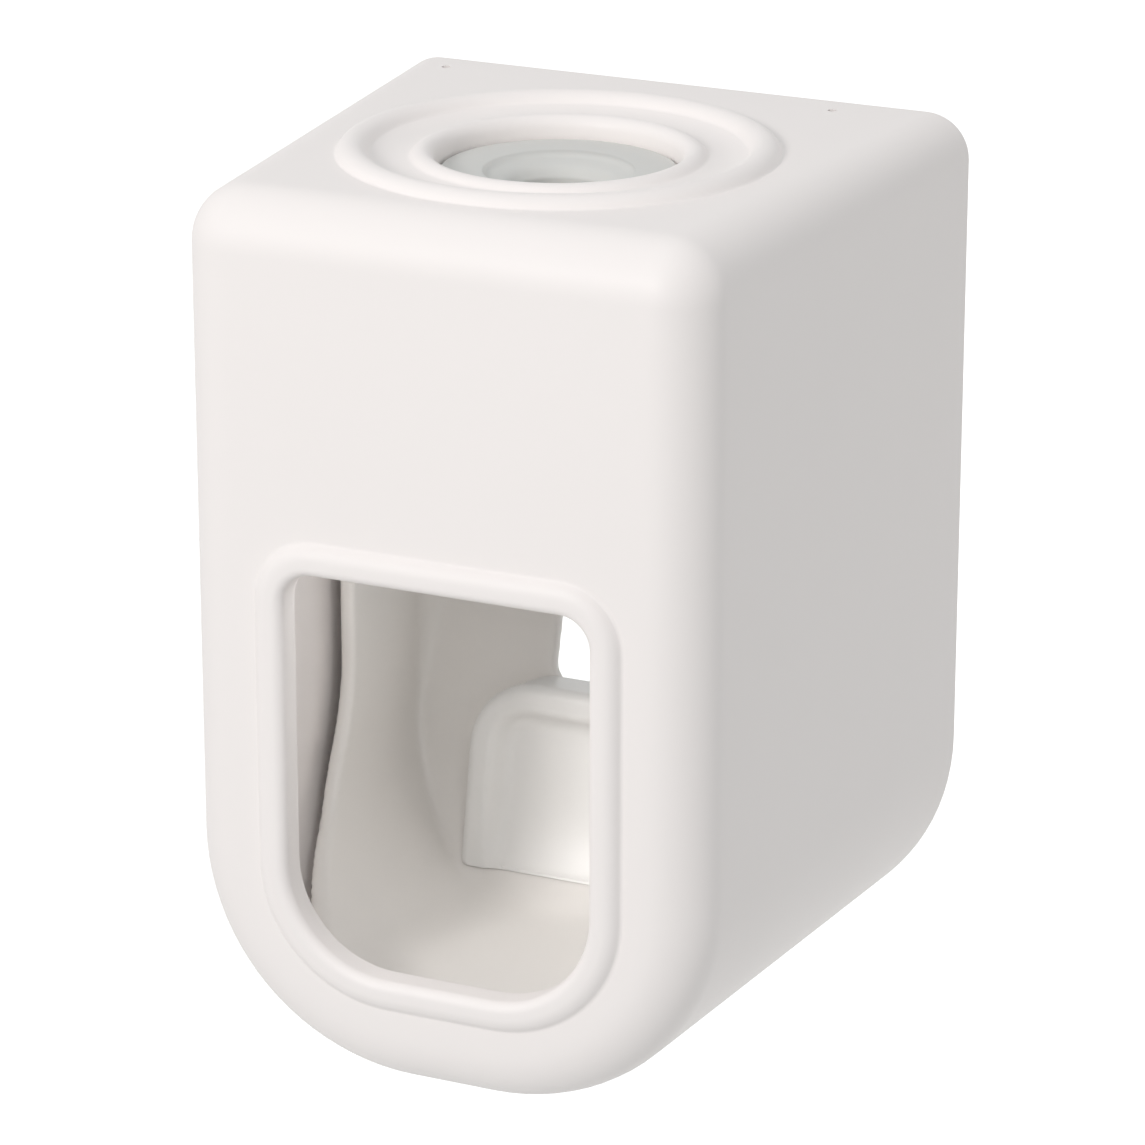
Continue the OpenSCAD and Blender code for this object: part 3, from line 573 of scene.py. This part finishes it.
def window_profile():
    """(out, y) of the window's own wall and its rounded inner edge."""
    back, r = -BODY_D + WALL, 0.5
    profile = [(0.0, back - r)]
    for i in range(1, 5):
        a = math.radians(90 * i / 4)
        profile.append((r - r * math.cos(a), back - r + r * math.sin(a)))
    return profile


# The rows run from the rim at the wall to the front edge; the rim itself is rounded
rows = [-RIM_GAP + (EDGE_Y + RIM_GAP) * i / ROWS for i in range(ROWS + 1)]
rows[0] = -RIM_GAP - RIM_R
loops = [shell_loop(-RIM_GAP, WALL - RIM_R), shell_loop(-RIM_GAP, RIM_R),
         [(x, -RIM_GAP - 0.1, z) for x, _, z in shell_loop(-RIM_GAP, 0.1)]]
outer_start = len(loops)
loops += [shell_loop(y, 0.0) for y in rows]
outer_end = len(loops) - 1
loops += edge_loops(0.0, 12)
loops += [window_loop(out, y) for out, y in bead_profile() + window_profile()]
loops += edge_loops(WALL, 8)[::-1]
inner_start = len(loops)
loops += [shell_loop(y, WALL) for y in rows[::-1]]
inner_end = len(loops) - 1
print("loops:", len(loops), "outer rows:", outer_start, outer_end)

# %% [markdown]
# ## The turned top
# Ring, dished band, rolled lip and hole share one axis, so one profile describes them.
# The heights are blended with a soft maximum, which leaves the small fillets that a
# mould has. A flat triangulated patch joins the turned part to the loft.

# %% Profile of ring, dish, lip and hole
RING_R, RING_T, RING_PROUD = 19.1, 3.2, 1.09
LIP_R, LIP_T, LIP_PROUD, HOLE_R = 12.6, 2.5, 0.3, 11.5
DISH_R, DISH_HALF, DISH_DEEP = 15.1, 2.45, 0.5
PATCH_R, TURN_STEPS, NO_HEIGHT = 20.85, 96, -3.0


def soft_max(values, softness):
    peak = max(values)
    return peak + softness * math.log(sum(math.exp((v - peak) / softness) for v in values))


def round_bar(r, middle, thick, proud):
    """Height of a round bar that lies in the top and stands proud of it."""
    if abs(r - middle) >= thick / 2:
        return NO_HEIGHT
    return math.sqrt((thick / 2) ** 2 - (r - middle) ** 2) - thick / 2 + proud


def top_height(r):
    dish = -DISH_DEEP * max(0.0, 1 - ((r - DISH_R) / DISH_HALF) ** 2)
    return soft_max([round_bar(r, RING_R, RING_T, RING_PROUD),
                     round_bar(r, LIP_R, LIP_T, LIP_PROUD), dish], 0.10)


def turned_top():
    """(radius, height) from the patch's edge to the hole's lower edge."""
    profile = [(PATCH_R, BODY_H)]
    for i in range(1, 60):
        r = PATCH_R + (LIP_R - PATCH_R) * i / 59
        profile.append((r, BODY_H + top_height(r) * min(1.0, i / 2)))
    crest, under = profile[-1][1], BODY_H - WALL
    for i in range(1, 9):
        a = math.radians(90 * i / 8)
        profile.append((LIP_R - (LIP_R - HOLE_R) * math.sin(a),
                        crest - LIP_T / 2 * (1 - math.cos(a))))
    return profile + [(HOLE_R, under + 0.25), (HOLE_R + 0.1, under + 0.07), (HOLE_R + 0.3, under)]


print("turned profile points:", len(turned_top()),
      "crest", round(BODY_H + top_height(RING_R), 2))

# %% Assemble the shell
MARK_X, MARK_Y, MARK_STEPS = (-23.5, 17.3), -4.1, 16
MARK_RIMS = ((0.45, 0.0), (0.45, 1.30), (0.20, 1.40))


def in_top(loop_index, column):
    """True for the faces that make room for the turned patch."""
    outside = outer_start <= loop_index < outer_end
    inside = inner_start <= loop_index < inner_end
    return (outside or inside) and column < TOP_STEPS


def patch(points, faces, border, rings):
    """Fills between a border loop and round holes whose points lie in the same plane."""
    loops_in = [border] + rings
    order = [i for loop in loops_in for i in loop]
    flat = [Vector(points[i][:2]) for i in order]
    edges, start = [], 0
    for loop in loops_in:
        edges += [(start + i, start + (i + 1) % len(loop)) for i in range(len(loop))]
        start += len(loop)
    made = geometry.delaunay_2d_cdt(flat, edges, [], 1, 1e-6)
    corners, triangles, origins = made[0], made[2], made[3]
    table = [order[o[0]] for o in origins]
    holes = []
    for ring in rings:
        middle = sum((Vector(points[i][:2]) for i in ring), Vector((0, 0))) / len(ring)
        radius = (Vector(points[ring[0]][:2]) - middle).length * math.cos(math.pi / len(ring))
        holes.append((middle, radius - 1e-4))
    for t in triangles:
        mid = sum((corners[i] for i in t), Vector((0, 0))) / 3
        if all((mid - middle).length > radius for middle, radius in holes):
            faces.append([table[i] for i in t])


def turned(points, faces, x, y, profile, steps):
    """Turns a (radius, height) profile about an upright axis; gives back its rings."""
    rings = []
    for r, z in profile:
        rings.append([len(points) + i for i in range(steps)])
        for i in range(steps):
            a = 2 * math.pi * i / steps
            points.append((x + r * math.cos(a), y + r * math.sin(a), z))
    for low, high in zip(rings, rings[1:]):
        faces += [[low[i], low[(i + 1) % steps], high[(i + 1) % steps], high[i]]
                  for i in range(steps)]
    return rings


def mark_dimple(points, faces, x, y):
    """A tiny round dimple in the top; gives back its rim."""
    rims = turned(points, faces, x, y, [(r, BODY_H - depth) for r, depth in MARK_RIMS], MARK_STEPS)
    faces.append(rims[-1])
    return rims[0]


def housing_mesh():
    width = len(loops[0])
    points = [p for loop in loops for p in loop]
    faces = []
    for a in range(len(loops)):
        b = (a + 1) % len(loops)
        for c in range(width):
            if not in_top(a, c):
                d = (c + 1) % width
                faces.append([a * width + c, a * width + d, b * width + d, b * width + c])
    rings = turned(points, faces, 0.0, TUBE_Y, turned_top(), TURN_STEPS)
    marks = [mark_dimple(points, faces, x, MARK_Y) for x in MARK_X]
    for start, end, holes in ((outer_start, outer_end, [rings[0]] + marks),
                              (inner_start, inner_end, [rings[-1]])):
        border = [start * width + c for c in range(TOP_STEPS)]
        border += [row * width + TOP_STEPS for row in range(start, end)]
        border += [end * width + c for c in range(TOP_STEPS, 0, -1)]
        border += [row * width for row in range(end, start, -1)]
        patch(points, faces, border, holes)
    return [to_frame(*p) for p in points], faces


housing = mesh_piece("housing_shell", *housing_mesh(), SHELL, sharp=50)
hand_over(housing, "white_shell", "housing")

# %% [markdown]
# ## The push lever
# The lever is a scoop. Its hollow is a tapered trough met by a back that leans in and
# sweeps down to the floor, and its outside is the same shape grown by the wall. What lies
# between them is cut to the side view of the wings and arms, then notched at the back.
# The fillet between wing and back is wide at the top and tight near the floor.

# %% The lever's sizes
WING_GAP, WING_T, LEVER_T = 1.5, 1.5, 1.8
LEVER_SIZES = {"Wall": WING_T, "Foot radius": 17.0, "Scoop radius": 13.0,
               "Notch half": 9.4, "Notch height": 24.6, "Back height": 36.0,
               "Sweep radius": 9.0, "Edge radius": 0.5}
BACK_Y, BACK_H, BACK_LEAN = -6.7, 31.0, math.atan2(3.5, 13)
FLOOR_FALL = 2 / 43.3
FLOOR_AT_WALL = WALL + 3.3 - 50 * FLOOR_FALL
SWEEP_Y, SWEEP_H, SWEEP_RISE, SWEEP_UNIT = -40.5, 14.0, 0.54, 0.88
SCOOP_FRONT, ARM_FRONT, ARM_TOP = -49.8, -27.4, 76.0
BAR_Y, BAR_H, HEAD_R, HEAD_RUN_SQUARED = -39.4, 59.0, 5.0, 313.4
SPRING_PEG_Y, SPRING_PEG_H = -29.2, 64.2
PAD_LEAN, PAD_PEG_X = math.radians(10.4), 13.7
PAD_REACH, PAD_TOP, PAD_W = 20.3, 26.8, 30.4
PAD_FOOT = FLOOR_AT_WALL + FLOOR_FALL * PAD_REACH + LEVER_T + 0.1
PAD_L = (PAD_TOP - PAD_FOOT) / math.cos(PAD_LEAN)
PAD_MID_Y = -PAD_REACH + PAD_L / 2 * math.sin(PAD_LEAN)
PAD_MID_H = PAD_FOOT + PAD_L / 2 * math.cos(PAD_LEAN)


def lever_half(y):
    return half_w(y) - WALL - WING_GAP


HUB_IN, HUB_OUT = lever_half(HINGE_Y) - WING_T - 1.2, 23.2
print("lever half width at its back:", round(lever_half(BACK_Y), 2), "pad length:", round(PAD_L, 2))

# %% The lever's distance


def trough(x, y, z, given, side_in, floor_in):
    """The round-bottomed trough, and the swept back that closes it."""
    slope = (BODY_W - FRONT_W) / BODY_D / 2
    half = y * slope + (lever_half(0) - side_in)
    low = y * -FLOOR_FALL + (FLOOR_AT_WALL + floor_in)
    r = given["Foot radius"] - side_in
    side = x.size() - half
    floor = low - z
    walls = meet(side, floor, r)
    upright = y + (floor_in - BACK_Y)
    leaning = (y - BACK_Y) * math.cos(BACK_LEAN) - (z - BACK_H) * math.sin(BACK_LEAN) + floor_in
    back = meet(upright.most(leaning), floor, given["Scoop radius"] - floor_in)
    return walls, back


def lever_inside(x, y, z, given, extra=0.0):
    """Distance of the hollow in the scoop. The fillet raises the floor, so it starts lower."""
    walls, back = trough(x, y, z, given, WING_T + extra, LEVER_T + extra - 0.18)
    return meet(walls, back, ((z - 18.0) * 0.2).most(0.6).least(4.0))


def lever_distance(x, y, z, given):
    hollow, aside = lever_inside(x, y, z, given), x.size()
    bar_y, bar_z, hinge_y, hinge_z = y - BAR_Y, z - BAR_H, y - HINGE_Y, z - HINGE_H
    # Side view: low front, sweep, upright arm, then the head with the bar and the hinge
    rise = (z - SWEEP_H - (y - SWEEP_Y) * SWEEP_RISE) * SWEEP_UNIT
    sweep = join(-y + ARM_FRONT, rise, given["Sweep radius"])
    rear = (y - BACK_Y) * 0.777 + (z - 50.0) * 0.629
    column = meet(meet(sweep, -y + SCOOP_FRONT, 3.0), rear, 2.0).most(z - ARM_TOP)
    run_y, run_z = HINGE_Y - BAR_Y, HINGE_H - BAR_H
    along = ((bar_y * run_y + bar_z * run_z) * (1 / HEAD_RUN_SQUARED)).most(0.0).least(1.0)
    head = rod(bar_y - along * run_y, bar_z - along * run_z, HEAD_R)
    heel = (y + 27.25).size().most((z - 72.0).size() - 5.0) - 2.6
    view = join(join(column, head, 5.0), heel, 0.8)
    sheet = (hollow - given["Wall"]).most(-hollow)
    piece = meet(sheet, view, given["Edge radius"])
    # The open back above the scoop, and the notch through it
    open_back = meet(aside - (lever_half(BACK_Y) - 5.0), given["Back height"] - z, 2.0)
    notch = meet(aside - given["Notch half"], given["Notch height"] - z, 2.0)
    piece = cut(piece, join(open_back, notch, 2.0).most(-y - 15.0), given["Edge radius"])
    # Hub bosses, spring pegs, and the bores for the pins, the bar and the pad's pegs
    hub = rod(hinge_y, hinge_z, 5.0).most(-aside + HUB_IN).most(aside - HUB_OUT)
    peg = rod(y - SPRING_PEG_Y, z - SPRING_PEG_H, 1.2)
    peg = peg.most(-aside + HUB_IN - 1.3).most(aside - HUB_OUT)
    piece = join(join(piece, hub, 0.4), peg, 0.2)
    bore = rod(hinge_y, hinge_z, 2.25).least(rod(bar_y, bar_z, 2.15))
    across = (z - PAD_MID_H) * math.cos(PAD_LEAN) + (y - PAD_MID_Y) * math.sin(PAD_LEAN)
    pad_peg = rod(aside - PAD_PEG_X, across, 1.65).most(-y - 17.0)
    return cut(piece, bore.least(pad_peg), 0.15)


lever = ruled_piece("push_lever_scoop", "lever_rule", LEVER_SIZES, lever_distance,
                    ((-27, -51, 3), (27, -5.5, 81)), 0.45, LEVER)
hand_over(lever, "white_lever", "push_lever")

# %% [markdown]
# ## The push pad
# The pad leans back in the scoop. An arched rim runs round its sides and top, the face
# inside it is dished with round sides, and at the foot the dish runs out on the floor.

# %% The pad's distance
PAD_SIZES = {"Rim": 3.0, "Dish": 1.8, "Arch radius": 7.0, "Rim round": 1.2}
LIP_SOFT = 0.9


def pad_distance(x, y, z, given):
    aside, ahead, above = x.size(), y + PAD_REACH, z - PAD_FOOT
    up = above * math.cos(PAD_LEAN) + ahead * math.sin(PAD_LEAN)
    deep = ahead * math.cos(PAD_LEAN) - above * math.sin(PAD_LEAN)
    arch = meet(aside - PAD_W / 2, up - PAD_L, given["Arch radius"])
    block = meet(arch, -deep, given["Rim round"])
    half = given["Rim"] * -1.0 + PAD_W / 2
    dish_arch = meet(aside - half, up - PAD_L + given["Rim"], 3.5)
    # The dish is a box with round sides. Its floor comes forward over the last 10 mm
    fade = (up * -0.1 + 1.0).most(0.0).least(1.0)
    depth = (fade * -fade + 1.0) * (given["Dish"] + LIP_SOFT) - LIP_SOFT
    dish = meet(dish_arch, deep - depth, 1.8)
    face = cut(block, dish, LIP_SOFT)
    # Its back is hollow, as an evenly thick moulding is, and its foot fits the scoop
    core = meet(meet(aside - half + 0.6, up - PAD_L + 3.6, 1.5), -deep + 3.8, 0.5)
    face = face.most(-(core.most(-up + 3.0)))
    seated = lever_inside(x, y, z, LEVER_SIZES, 0.08)
    peg = rod(aside - PAD_PEG_X, up - PAD_L / 2, 1.4).most(seated - 1.2).most(-deep + 2.8)
    return face.most(seated).least(peg)


pad = ruled_piece("push_pad_cap", "pad_rule", PAD_SIZES, pad_distance,
                  ((-16.5, -21.5, 4), (16.5, -8, 28)), 0.28, PAD)
hand_over(pad, "white_pad", "push_pad")

# %% [markdown]
# ## Screws and springs
# One screw is drawn with its thread and cross recess, and Geometry Nodes sets it on the
# four bosses. Each spring is one line bent into leg, coils and leg, then thickened to
# wire. The left spring is the right one mirrored.

# %% Four tapping screws
BOSS_L, SEAT_GAP, PLATE_T, SCREW_PITCH = 4.0, 0.1, 2.4, 15.5
PLATE_LOW = BODY_H - WALL - BOSS_L - SEAT_GAP - PLATE_T
SCREW_SIZES = {"Pitch": 0.8, "Thread": 0.24}


def drawn_screw(x, y, z, given):
    """One screw, head down; its seat, where the head meets the plate, is at z = 0."""
    radius = reach(x, y)
    turn = y.math("ARCTAN2", x) * (1 / (2 * math.pi))
    phase = (z.math("DIVIDE", given["Pitch"]) - turn).math("FRACT")
    ridge = ((phase - 0.5).size() * -2.0 + 1.0) * given["Thread"]
    threaded = (z - 0.3).math("GREATER_THAN", 0.0)
    shank = (radius - (ridge * threaded + 0.80)).most(z - 5.5).most(-z - 0.6)
    tip = radius + (z - 5.9)
    head = meet(radius - 2.4, (z + 0.7).size() - 0.7, 0.45)
    cross = (x.size() - 0.3).most(y.size() - 1.3).least((y.size() - 0.3).most(x.size() - 1.3))
    head = head.most(-(cross.most(z + 0.7)))
    return head.least(shank.most(tip * 0.7))


rule = new_rule("screw_rule")
given = node_inputs(rule, SCREW_SIZES)
x, y, z = places(rule)
one_screw = solid_socket(rule, drawn_screw(x, y, z - PLATE_H, given), (-2.6, -2.6, PLATE_H - 1.6),
                         (2.6, 2.6, PLATE_H + 6.0), 0.1, steps=0)
grid = rule.nodes.new("GeometryNodeMeshGrid")
for axis in "XY":
    grid.inputs["Size " + axis].default_value = 2 * SCREW_PITCH * MM
    grid.inputs["Vertices " + axis].default_value = 2
spread = rule.nodes.new("GeometryNodeInstanceOnPoints")
rule.links.new(grid.outputs["Mesh"], spread.inputs["Points"])
rule.links.new(one_screw, spread.inputs["Instance"])
shift = rule.nodes.new("GeometryNodeTransform")
shift.inputs["Translation"].default_value = to_frame(0, TUBE_Y, PLATE_LOW)
rule.links.new(spread.outputs["Instances"], shift.inputs["Geometry"])
close_group(rule, shift.outputs["Geometry"], STEEL)
screws = grown_piece("carrier_screws_threaded", rule, SCREW_SIZES, STEEL, sharp=40)
hand_over(screws, "plated_steel", "carrier_screws")

# %% Two return springs
SPRING_SIZES = {"Coil radius": 3.4, "Pitch": 1.15, "Turns": 2.75, "Short leg": 8.0,
                "Long leg": 11.0, "Wire radius": 0.35}
COIL_X = (HUB_IN - 0.3 - SPRING_SIZES["Wire radius"]
          - SPRING_SIZES["Pitch"] * SPRING_SIZES["Turns"])
WIRE_POINTS = 260


def bent_wire(tree, given, side):
    """Moves the points of a straight line on to the spring's centre line."""
    index = Field(tree, tree.nodes.new("GeometryNodeInputIndex").outputs[0])
    coil = given["Coil radius"] * (2 * math.pi) * given["Turns"]
    run = index * (1 / (WIRE_POINTS - 1)) * (coil + given["Short leg"] + given["Long leg"])
    wound = (run - given["Short leg"]).most(0.0).least(coil)
    turn = wound.math("DIVIDE", given["Coil radius"])
    to_short_end = (given["Short leg"] - run).most(0.0)
    to_long_end = (run - given["Short leg"] - coil).most(0.0)
    x = wound.math("DIVIDE", coil) * given["Turns"] * given["Pitch"] + COIL_X
    y = turn.math("SINE") * -given["Coil radius"] + to_short_end + HINGE_Y
    z = turn.math("COSINE") * -given["Coil radius"] - to_long_end + (HINGE_H - PLATE_H)
    joined = tree.nodes.new("ShaderNodeCombineXYZ")
    for slot, value in zip(joined.inputs, (x * side, y, z)):
        tree.links.new((value * MM).socket, slot)
    return joined.outputs[0]


for name, side in (("left", -1.0), ("right", 1.0)):
    rule = new_rule("spring_rule_" + name)
    given = node_inputs(rule, SPRING_SIZES)
    line = rule.nodes.new("GeometryNodeCurvePrimitiveLine")
    points_on = rule.nodes.new("GeometryNodeResampleCurve")
    points_on.inputs["Count"].default_value = WIRE_POINTS
    bend = rule.nodes.new("GeometryNodeSetPosition")
    ring = rule.nodes.new("GeometryNodeCurvePrimitiveCircle")
    ring.inputs["Resolution"].default_value = 16
    rule.links.new((given["Wire radius"] * MM).socket, ring.inputs["Radius"])
    thicken = rule.nodes.new("GeometryNodeCurveToMesh")
    thicken.inputs["Fill Caps"].default_value = True
    rule.links.new(line.outputs["Curve"], points_on.inputs["Curve"])
    rule.links.new(points_on.outputs["Curve"], bend.inputs["Geometry"])
    rule.links.new(bent_wire(rule, given, side), bend.inputs["Position"])
    rule.links.new(bend.outputs["Geometry"], thicken.inputs["Curve"])
    rule.links.new(ring.outputs["Curve"], thicken.inputs["Profile Curve"])
    close_group(rule, thicken.outputs["Mesh"], WIRE)
    spring = grown_piece("spring_" + name + "_wound", rule, SPRING_SIZES, WIRE, sharp=60)
    # The ends of the short and long legs are worked out, but the spring is only baked in place and
    # rides on no body
    ends = [to_frame(side * x, HINGE_Y, HINGE_H) for x in (COIL_X + 0.3, HUB_IN - 0.9)]
    hand_over(spring, "spring_steel", "spring_" + name, twist=ends)

# %% [markdown]
# ## Pieces that keep their construction shape
# Turned, drilled and cut pieces are already right. Each is copied from its node and its
# loose triangles are joined at their corners. Pieces with flat sides also get a narrow
# bevel in millimetres, because no moulded or pressed edge is truly sharp.

# %% Copy a node as a finished piece


EDGE_ANGLE = 35.0


def finished_copy(node, material, slot, bevel=0.0):
    piece = bpy.data.objects.new(node + "_finished", frame["nodes"][node].data.copy())
    bpy.context.collection.objects.link(piece)
    smooth_piece(piece, material, EDGE_ANGLE)
    if bevel:
        work = bmesh.new()
        work.from_mesh(piece.data)
        bmesh.ops.dissolve_limit(work, angle_limit=math.radians(0.5),
                                 verts=work.verts, edges=work.edges)
        work.to_mesh(piece.data)
        work.free()
        soften = piece.modifiers.new("soft_edges", "BEVEL")
        soften.width, soften.segments = bevel * MM, 2
        soften.limit_method, soften.angle_limit = "ANGLE", math.radians(EDGE_ANGLE)
        soften.harden_normals = False
    flats_lead(piece)
    hand_over(piece, slot, node)
    return piece


finished_copy("adhesive_pad", TAPE, "foam_tape", bevel=0.15)
finished_copy("wall_plate", INNER, "inner_plastic", bevel=0.2)
finished_copy("carrier", INNER, "inner_plastic", bevel=0.15)
finished_copy("tube_seal", SEAL, "grey_silicone")
finished_copy("inlet_collar", INNER, "inner_plastic")
finished_copy("inlet_valve", VALVE, "valve_silicone")
tube = finished_copy("squeeze_tube", TUBE, "clear_silicone")
# A place by the press bar is worked out and the tube gets a mesh of its own; the tube is not
# pressed flat here
to_frame(0, -20.0, 60.0)
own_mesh(tube)
finished_copy("outlet_collar", INNER, "inner_plastic")
finished_copy("outlet_valve", VALVE, "valve_silicone")
finished_copy("nozzle_cap", PAD, "white_pad")
finished_copy("pin_left", STEEL, "plated_steel")
finished_copy("pin_right", STEEL, "plated_steel")
finished_copy("press_bar", INNER, "inner_plastic", bevel=0.2)
finished_copy("lever_buffers", BUFFER, "dark_rubber", bevel=0.1)

# %% [markdown]
# ## A pale studio
# The dispenser hangs on a wall in use, but is shown here on white. The floor lies well
# below it and looks white to the camera, and so does the space behind it. The key lamp
# in front on the left is small, so that it reaches through the window and draws the
# edges inside. A wide lamp over the top and a warm one on the right fill the rest.

# %% Studio materials and floor


def lit_white(name, colour, glow_level):
    """A pale surface that takes shadows, and glows for the camera and in reflections."""
    material = bpy.data.materials.new(name)
    material.use_nodes = True
    tree = material.node_tree
    plain = tree.nodes["Principled BSDF"]
    plain.inputs["Base Color"].default_value = (*colour, 1)
    plain.inputs["Roughness"].default_value = 0.9
    glow = tree.nodes.new("ShaderNodeEmission")
    glow.inputs["Color"].default_value = (1.0, 1.0, 0.985, 1)
    level = tree.nodes.new("ShaderNodeMath")
    level.operation = "MULTIPLY"
    level.inputs[1].default_value = glow_level
    tree.links.new(seen_directly(tree), level.inputs[0])
    tree.links.new(level.outputs[0], glow.inputs["Strength"])
    both = tree.nodes.new("ShaderNodeAddShader")
    tree.links.new(plain.outputs[0], both.inputs[0])
    tree.links.new(glow.outputs[0], both.inputs[1])
    tree.links.new(both.outputs[0], tree.nodes["Material Output"].inputs["Surface"])
    return material


def seen_directly(tree):
    """One for rays from the camera, in reflections and through clear pieces."""
    path = tree.nodes.new("ShaderNodeLightPath")
    seen = path.outputs["Is Camera Ray"]
    for label in ("Is Glossy Ray", "Is Transmission Ray"):
        either = tree.nodes.new("ShaderNodeMath")
        either.operation = "MAXIMUM"
        tree.links.new(seen, either.inputs[0])
        tree.links.new(path.outputs[label], either.inputs[1])
        seen = either.outputs[0]
    return seen


FLOOR_HALF, FLOOR_Z = 3.0, -0.36
floor_mesh = bpy.data.meshes.new("studio_floor")
floor_mesh.from_pydata([(u * FLOOR_HALF, v * FLOOR_HALF, FLOOR_Z)
                        for u, v in ((-1, -1), (1, -1), (1, 1), (-1, 1))], [], [(0, 1, 2, 3)])
floor_mesh.materials.append(lit_white("studio_floor", (0.80, 0.80, 0.79), 0.8))
floor = bpy.data.objects.new("studio_floor", floor_mesh)
bpy.context.collection.objects.link(floor)
print("floor at", FLOOR_Z, "m")

# %% World and lamps
world = bpy.data.worlds.new("studio_world")
bpy.context.scene.world = world
world.use_nodes = True
sky = world.node_tree
fill = sky.nodes["Background"]
fill.inputs["Color"].default_value = (0.95, 0.98, 1.0, 1)
fill.inputs["Strength"].default_value = 0.50
white = sky.nodes.new("ShaderNodeBackground")
white.inputs["Color"].default_value = (1.0, 1.0, 0.985, 1)
white.inputs["Strength"].default_value = 1.0
choose = sky.nodes.new("ShaderNodeMixShader")
sky.links.new(seen_directly(sky), choose.inputs["Fac"])
sky.links.new(fill.outputs[0], choose.inputs[1])
sky.links.new(white.outputs[0], choose.inputs[2])
sky.links.new(choose.outputs[0], sky.nodes["World Output"].inputs["Surface"])


def soft_lamp(name, place, size, power, colour, target=(0, -28.0, PLATE_H - 20.0)):
    """A round lamp in metres and watts that looks at a place given in millimetres."""
    data = bpy.data.lights.new(name, "AREA")
    data.shape, data.size, data.energy, data.color = "DISK", size, power, colour
    lamp = bpy.data.objects.new(name, data)
    bpy.context.collection.objects.link(lamp)
    lamp.location = place
    lamp.rotation_euler = (to_frame(*target) - lamp.location).to_track_quat("-Z", "Y").to_euler()
    return lamp


soft_lamp("front_left_lamp", (-0.172, -0.662, 0.335), 0.18, 2.50, (1.0, 0.97, 0.95))
soft_lamp("top_lamp", (-0.1, 0.1, 1.1), 0.9, 1.7, (1.0, 0.985, 0.97))
soft_lamp("warm_side_lamp", (1.05, 0.30, 0.25), 0.8, 1.1, (1.0, 0.94, 0.88))
# Two tiny lamps behind the front wall stand in for light that real thin walls let through
for name, x, power, target in (("scoop_glow_lamp", 4.0, 0.0038, (0, -18, 14)),
                               ("wing_glow_lamp", -13.0, 0.0009, (-24, -22, 26))):
    glow_lamp = soft_lamp(name, to_frame(x, -47.0, 54.5), 0.016, power, (1.0, 0.99, 0.975), target)
    glow_lamp.visible_camera = False
bpy.context.scene.view_settings.view_transform = "Standard"
